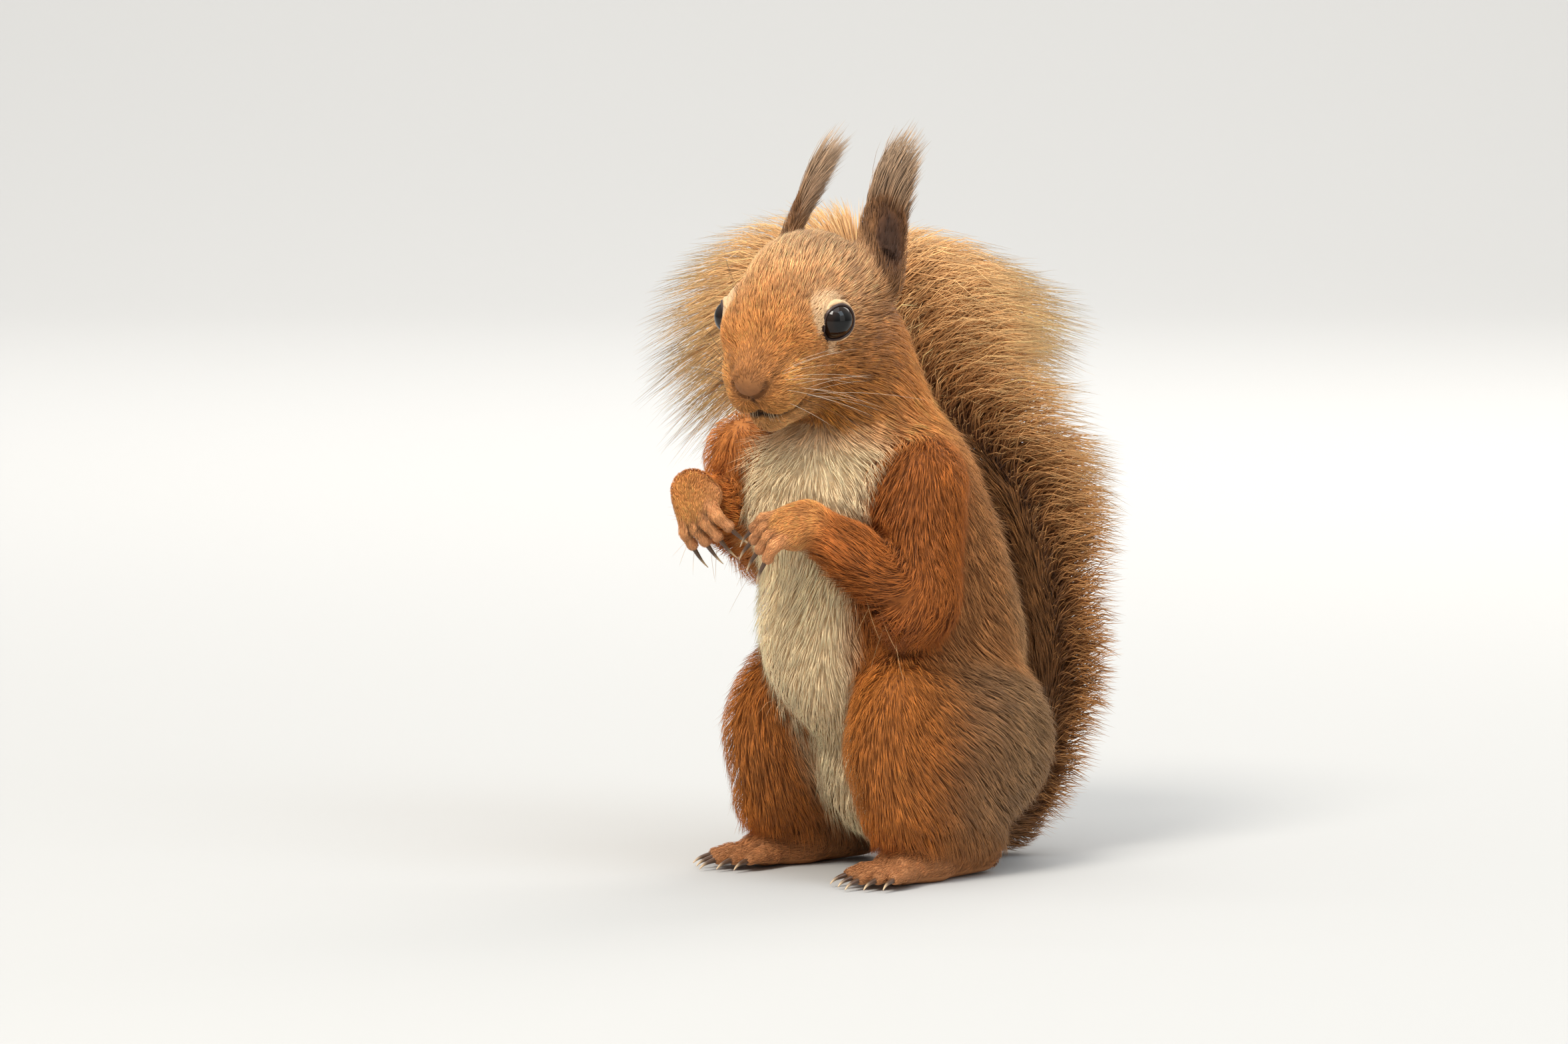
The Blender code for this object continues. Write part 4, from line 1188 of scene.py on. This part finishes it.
# ---------------------------------------------------------------- eyes, lids and claws
def make_eye(side):
    """An eyeball with a bulging cornea and a dark iris."""
    gaze, ahead, over = gaze_axes(side)
    turn = Matrix((ahead.tolist(), np.cross(gaze, ahead).tolist(), gaze.tolist())).transposed()
    bpy.ops.mesh.primitive_uv_sphere_add(segments=56, ring_count=36, radius=EYE_RADIUS * MM,
                                         location=to_frame(eye_centre(side)),
                                         rotation=turn.to_euler())
    eye = bpy.context.object
    eye.name = "eyeball_" + side
    settle(eye)
    away = vertex_places(eye.data) - eye_centre(side)
    angle = np.arccos(np.clip(unit(away) @ gaze, -1, 1))
    bulge = 1.0 + 0.045 * (1 - ease(0.2, 0.95, angle))
    move_points(eye.data, eye_centre(side) + away * bulge[:, None])
    rim = ease(0.45, 0.75, angle)[:, None]
    colour_points(eye.data, PUPIL * (1 - rim) + IRIS * rim)
    bpy.ops.object.shade_smooth()
    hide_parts("eye_" + side)
    return eye


def make_lid(side):
    """The dark, moist rim of the lids, laid round the eye's opening."""
    gaze, ahead, over = gaze_axes(side)
    thin = 0.1
    bpy.ops.mesh.primitive_torus_add(major_segments=72, minor_segments=12, major_radius=1.0,
                                     minor_radius=thin)
    lid = bpy.context.object
    lid.name = "lid_rim_" + side
    settle(lid)
    ring = rows_of(lid.data.vertices, "co", 3).astype(float)
    turn = np.arctan2(ring[:, 1], ring[:, 0])
    outward, height = (np.hypot(ring[:, 0], ring[:, 1]) - 1.0) / thin, ring[:, 2] / thin
    angle = lid_edge(turn) + 0.02 + outward * 0.075
    radius = EYE_RADIUS + 0.18 + height * 0.34
    sideways = np.cos(turn)[:, None] * ahead + np.sin(turn)[:, None] * over
    way = np.cos(angle)[:, None] * gaze + np.sin(angle)[:, None] * sideways
    move_points(lid.data, eye_centre(side) + way * radius[:, None])
    in_edit_mode(lambda: bpy.ops.mesh.normals_make_consistent(inside=False))
    bpy.ops.object.shade_smooth()
    colour_points(lid.data, np.tile(LID, (len(ring), 1)))
    return lid


def make_claw(node, joint, size):
    """A curved horn claw, round in section and drawn to a point."""
    start, aim, down = joint
    length, radius, drop = size
    bpy.ops.curve.primitive_bezier_curve_add(location=(0, 0, 0))
    claw = bpy.context.object
    claw.name = node.replace("claw", "nail")
    first, last = claw.data.splines[0].bezier_points
    tip = start + aim * length + down * length * drop
    first.co = to_frame(start - aim * 1.1)
    first.handle_left = to_frame(start - aim * 2.0)
    first.handle_right = to_frame(start + aim * length * 0.45)
    last.co = to_frame(tip)
    last.handle_left = to_frame(tip - (aim * 0.35 + down * 0.30) * length * 0.8)
    last.handle_right = to_frame(tip + (aim + down) * 0.3)
    first.radius, last.radius = 1.0, 0.16
    claw.data.resolution_u = 10
    claw.data.bevel_depth = radius * MM * 0.92
    claw.data.bevel_resolution = 3
    claw.data.use_fill_caps = True
    bpy.ops.object.convert(target="MESH")
    claw = bpy.context.object
    away = norms(vertex_places(claw.data) - start) / length
    share = ease(0.4, 1.05, away)[:, None]
    colour_points(claw.data, HORN_DARK * (1 - share) + HORN_PALE * share)
    bpy.ops.object.shade_smooth()
    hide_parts(node)
    return claw


# ---------------------------------------------------------------- materials
def tone_group():
    """A shared effect: fine streaks of light and dark laid over a stored colour."""
    group = bpy.data.node_groups.new("coat_streaks", "ShaderNodeTree")
    for name, way, kind in (("Colour", "INPUT", "Color"), ("Scale", "INPUT", "Float"),
                            ("Strength", "INPUT", "Float"), ("Colour", "OUTPUT", "Color"),
                            ("Height", "OUTPUT", "Float")):
        group.interface.new_socket(name, in_out=way, socket_type="NodeSocket" + kind)
    source, result, place, noise, shift, gain, mix = (group.nodes.new(kind) for kind in (
        "NodeGroupInput", "NodeGroupOutput", "ShaderNodeTexCoord", "ShaderNodeTexNoise",
        "ShaderNodeMapRange", "ShaderNodeMath", "ShaderNodeVectorMath"))
    noise.inputs["Detail"].default_value = 4.0
    shift.inputs["From Min"].default_value = 0.3
    shift.inputs["From Max"].default_value = 0.7
    shift.inputs["To Min"].default_value = -1.0
    gain.operation, mix.operation = "MULTIPLY_ADD", "SCALE"
    gain.inputs[2].default_value = 1.0
    for start, end in ((place.outputs["Object"], noise.inputs["Vector"]),
                       (source.outputs["Scale"], noise.inputs["Scale"]),
                       (noise.outputs["Fac"], shift.inputs["Value"]),
                       (shift.outputs["Result"], gain.inputs[0]),
                       (source.outputs["Strength"], gain.inputs[1]),
                       (source.outputs["Colour"], mix.inputs["Vector"]),
                       (gain.outputs["Value"], mix.inputs["Scale"]),
                       (mix.outputs["Vector"], result.inputs["Colour"]),
                       (noise.outputs["Fac"], result.inputs["Height"])):
        group.links.new(start, end)
    return group


def painted(name, group, scale, strength, roughness, bump=0.0, level=0.35, sheen=0.0):
    """A material that shows the stored markings and painted light, with streaks over them."""
    surface = bpy.data.materials.new(name)
    surface.use_nodes = True
    nodes, links = surface.node_tree.nodes, surface.node_tree.links
    shader = nodes["Principled BSDF"]
    stored = nodes.new("ShaderNodeAttribute")
    stored.attribute_name = "markings_and_painted_light"
    streaks = nodes.new("ShaderNodeGroup")
    streaks.node_tree = group
    streaks.inputs["Scale"].default_value = scale
    streaks.inputs["Strength"].default_value = strength
    links.new(stored.outputs["Color"], streaks.inputs["Colour"])
    links.new(streaks.outputs["Colour"], shader.inputs["Base Color"])
    shader.inputs["Roughness"].default_value = roughness
    shader.inputs["Specular IOR Level"].default_value = level
    shader.inputs["Sheen Weight"].default_value = sheen
    if bump:
        lift = nodes.new("ShaderNodeBump")
        lift.inputs["Strength"].default_value = bump
        lift.inputs["Distance"].default_value = BUMP_DEPTH
        links.new(streaks.outputs["Height"], lift.inputs["Height"])
        links.new(lift.outputs["Normal"], shader.inputs["Normal"])
    return surface


def plain_floor():
    """A pale floor that curves up far behind the animal into a plain backdrop."""
    size, wall, curve = 9.0, 5.0, 2.2
    bpy.ops.mesh.primitive_plane_add(size=size, location=(0, 0, -0.0001),
                                     rotation=(0, 0, VIEW_TURN))
    floor = bpy.context.object
    floor.name = "floor"
    settle(floor)
    way = Vector((-math.sin(VIEW_TURN), math.cos(VIEW_TURN), 0.0))

    def choose_back_edge():
        for edge in floor.data.edges:
            ends = [floor.data.vertices[k].co for k in edge.vertices]
            edge.select = all(end.dot(way) > size / 2 - 0.1 and end.z < 0.1 for end in ends)
        bpy.ops.object.mode_set(mode="EDIT")

    bpy.ops.object.mode_set(mode="EDIT")
    bpy.ops.mesh.select_all(action="DESELECT")
    bpy.ops.mesh.select_mode(type="EDGE")
    bpy.ops.object.mode_set(mode="OBJECT")
    choose_back_edge()
    bpy.ops.mesh.extrude_region_move(TRANSFORM_OT_translate={"value": (0, 0, wall)})
    bpy.ops.object.mode_set(mode="OBJECT")
    choose_back_edge()
    bpy.ops.mesh.bevel(offset=curve, segments=32)
    bpy.ops.object.mode_set(mode="OBJECT")
    bpy.ops.object.shade_smooth()
    surface = bpy.data.materials.new("floor")
    surface.use_nodes = True
    shader = surface.node_tree.nodes["Principled BSDF"]
    shader.inputs["Base Color"].default_value = (0.45, 0.445, 0.437, 1.0)
    shader.inputs["Roughness"].default_value = 0.85
    floor.data.materials.append(surface)


def lamp(name, place, target, size, power, colour):
    """A soft square light that shines at a target."""
    light = bpy.data.lights.new(name, "AREA")
    light.shape = "SQUARE"
    light.size = size
    light.energy = power
    light.color = colour
    item = bpy.data.objects.new(name, light)
    bpy.context.scene.collection.objects.link(item)
    turn = (Vector(target) - Vector(place)).to_track_quat("-Z", "Y")
    item.matrix_world = Matrix.Translation(place) @ turn.to_matrix().to_4x4()


def set_view():
    """The camera, low in front of the animal's left side, and the studio's lights."""
    flat = math.cos(VIEW_LIFT)
    back = Vector((math.sin(VIEW_TURN) * flat, -math.cos(VIEW_TURN) * flat, math.sin(VIEW_LIFT)))
    right = Vector((math.cos(VIEW_TURN), math.sin(VIEW_TURN), 0.0))
    up = back.cross(right)
    target = Vector(OFFSET) + right * VIEW_RIGHT + up * VIEW_UP
    camera = bpy.data.cameras.new("camera")
    item = bpy.data.objects.new("camera", camera)
    bpy.context.scene.collection.objects.link(item)
    place = Matrix((right, up, back)).transposed().to_4x4()
    place.translation = target + back * VIEW_FAR
    item.matrix_world = place
    camera.sensor_width = 36.0
    camera.lens = camera.sensor_width * VIEW_FAR / VIEW_SPAN
    camera.clip_end = 60.0
    bpy.context.scene.camera = item
    middle = Vector(OFFSET) + Vector((0, 0, 0.1))
    for name, near, side, high, size, power, colour in (        # places from the animal's middle
            ("key", 1.1, -0.65, 1.4, 0.7, 35, (1, 0.955, 0.87)),
            ("sky", 0.5, 0.0, 2.0, 1.6, 15, (0.92, 0.96, 1.0)),
            ("fill", 1.4, 1.6, 0.5, 1.4, 5, (1, 0.97, 0.93)),
            ("window", 0.8, 1.0, 1.25, 0.85, 8, (0.72, 0.87, 1)),
            ("backdrop", -1.6, 0.0, 2.2, 2.0, 70, (1, 0.99, 0.97)),
            ("rim", -1.3, 0.8, 1.2, 0.9, 11, (1, 0.96, 0.9))):
        aim = middle - back * 4.2 if name == "backdrop" else middle
        lamp(name, middle + back * near + right * side + Vector((0, 0, high)), aim, size, power,
             colour)


def light_world():
    """A pale surrounding, darker towards and below the horizon."""
    world = bpy.context.scene.world or bpy.data.worlds.new("studio")
    bpy.context.scene.world = world
    world.use_nodes = True
    nodes, links = world.node_tree.nodes, world.node_tree.links
    nodes["Background"].inputs["Color"].default_value = (0.82, 0.82, 0.80, 1.0)
    place, parts, rise = (nodes.new("ShaderNode" + kind)
                          for kind in ("TexCoord", "SeparateXYZ", "MapRange"))
    links.new(place.outputs["Generated"], parts.inputs["Vector"])
    links.new(parts.outputs["Z"], rise.inputs["Value"])
    rise.inputs["From Max"].default_value = 0.6
    rise.inputs["To Min"].default_value = 0.42
    rise.inputs["To Max"].default_value = 0.98
    links.new(rise.outputs["Result"], nodes["Background"].inputs["Strength"])
    bpy.context.scene.view_settings.view_transform = "Standard"


# ---------------------------------------------------------------- assembly
def build():
    """Make the whole squirrel and its studio."""
    set_view()
    light_world()
    streaks = tone_group()
    finishes = {
        "skin": painted("skin", streaks, 900.0, 0.12, 0.65, bump=0.5, level=0.25),
        "fur": painted("fur", streaks, 260.0, 0.16, 0.62, level=0.20, sheen=0.05),
        "brush": painted("tail_hair", streaks, 200.0, 0.14, 0.6, level=0.20, sheen=0.05),
        "whisker": painted("whisker", streaks, 300.0, 0.05, 0.35, level=0.5),
        "eye": painted("eye", streaks, 600.0, 0.10, 0.035, level=0.34),
        "lid": painted("lid", streaks, 1200.0, 0.10, 0.3, bump=0.2, level=0.5),
        "claw": painted("claw", streaks, 700.0, 0.15, 0.32, bump=0.2, level=0.5)}
    skin = make_skin()
    flesh = ["head", "neck", "trunk", "tail_base", "tail_middle", "tail_tip"]
    for side in SIDES:
        flesh += [name + side for name in ("ear_", "upper_arm_", "forearm_", "forepaw_", "thigh_",
                                           "shank_", "hind_foot_")]
    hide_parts(*flesh)
    ground = Ground(skin)
    dressed = {"skin": [skin], "fur": make_coat(ground) + make_ear_tufts(ground),
               "brush": make_brush(ground), "whisker": make_whiskers(ground), "eye": [], "lid": [],
               "claw": []}
    claws = (("fore", hand, 2, 1.9, (5.2, 0.75, 0.32)), ("hind", foot, 1, 2.3, (4.0, 0.85, 0.30)))
    for side in SIDES:
        dressed["eye"].append(make_eye(side))
        dressed["lid"].append(make_lid(side))
        for kind, paw, first, past, size in claws:
            for number, (start, aim, down) in enumerate(paw(side)[1], first):
                dressed["claw"].append(make_claw(f"claw_{kind}_{side}_{number}",
                                                 (start + aim * past, aim, down), size))
    for kind, pieces in dressed.items():
        for piece in pieces:
            piece.data.materials.clear()
            piece.data.materials.append(finishes[kind])
            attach(piece, "root")
    plain_floor()


build()
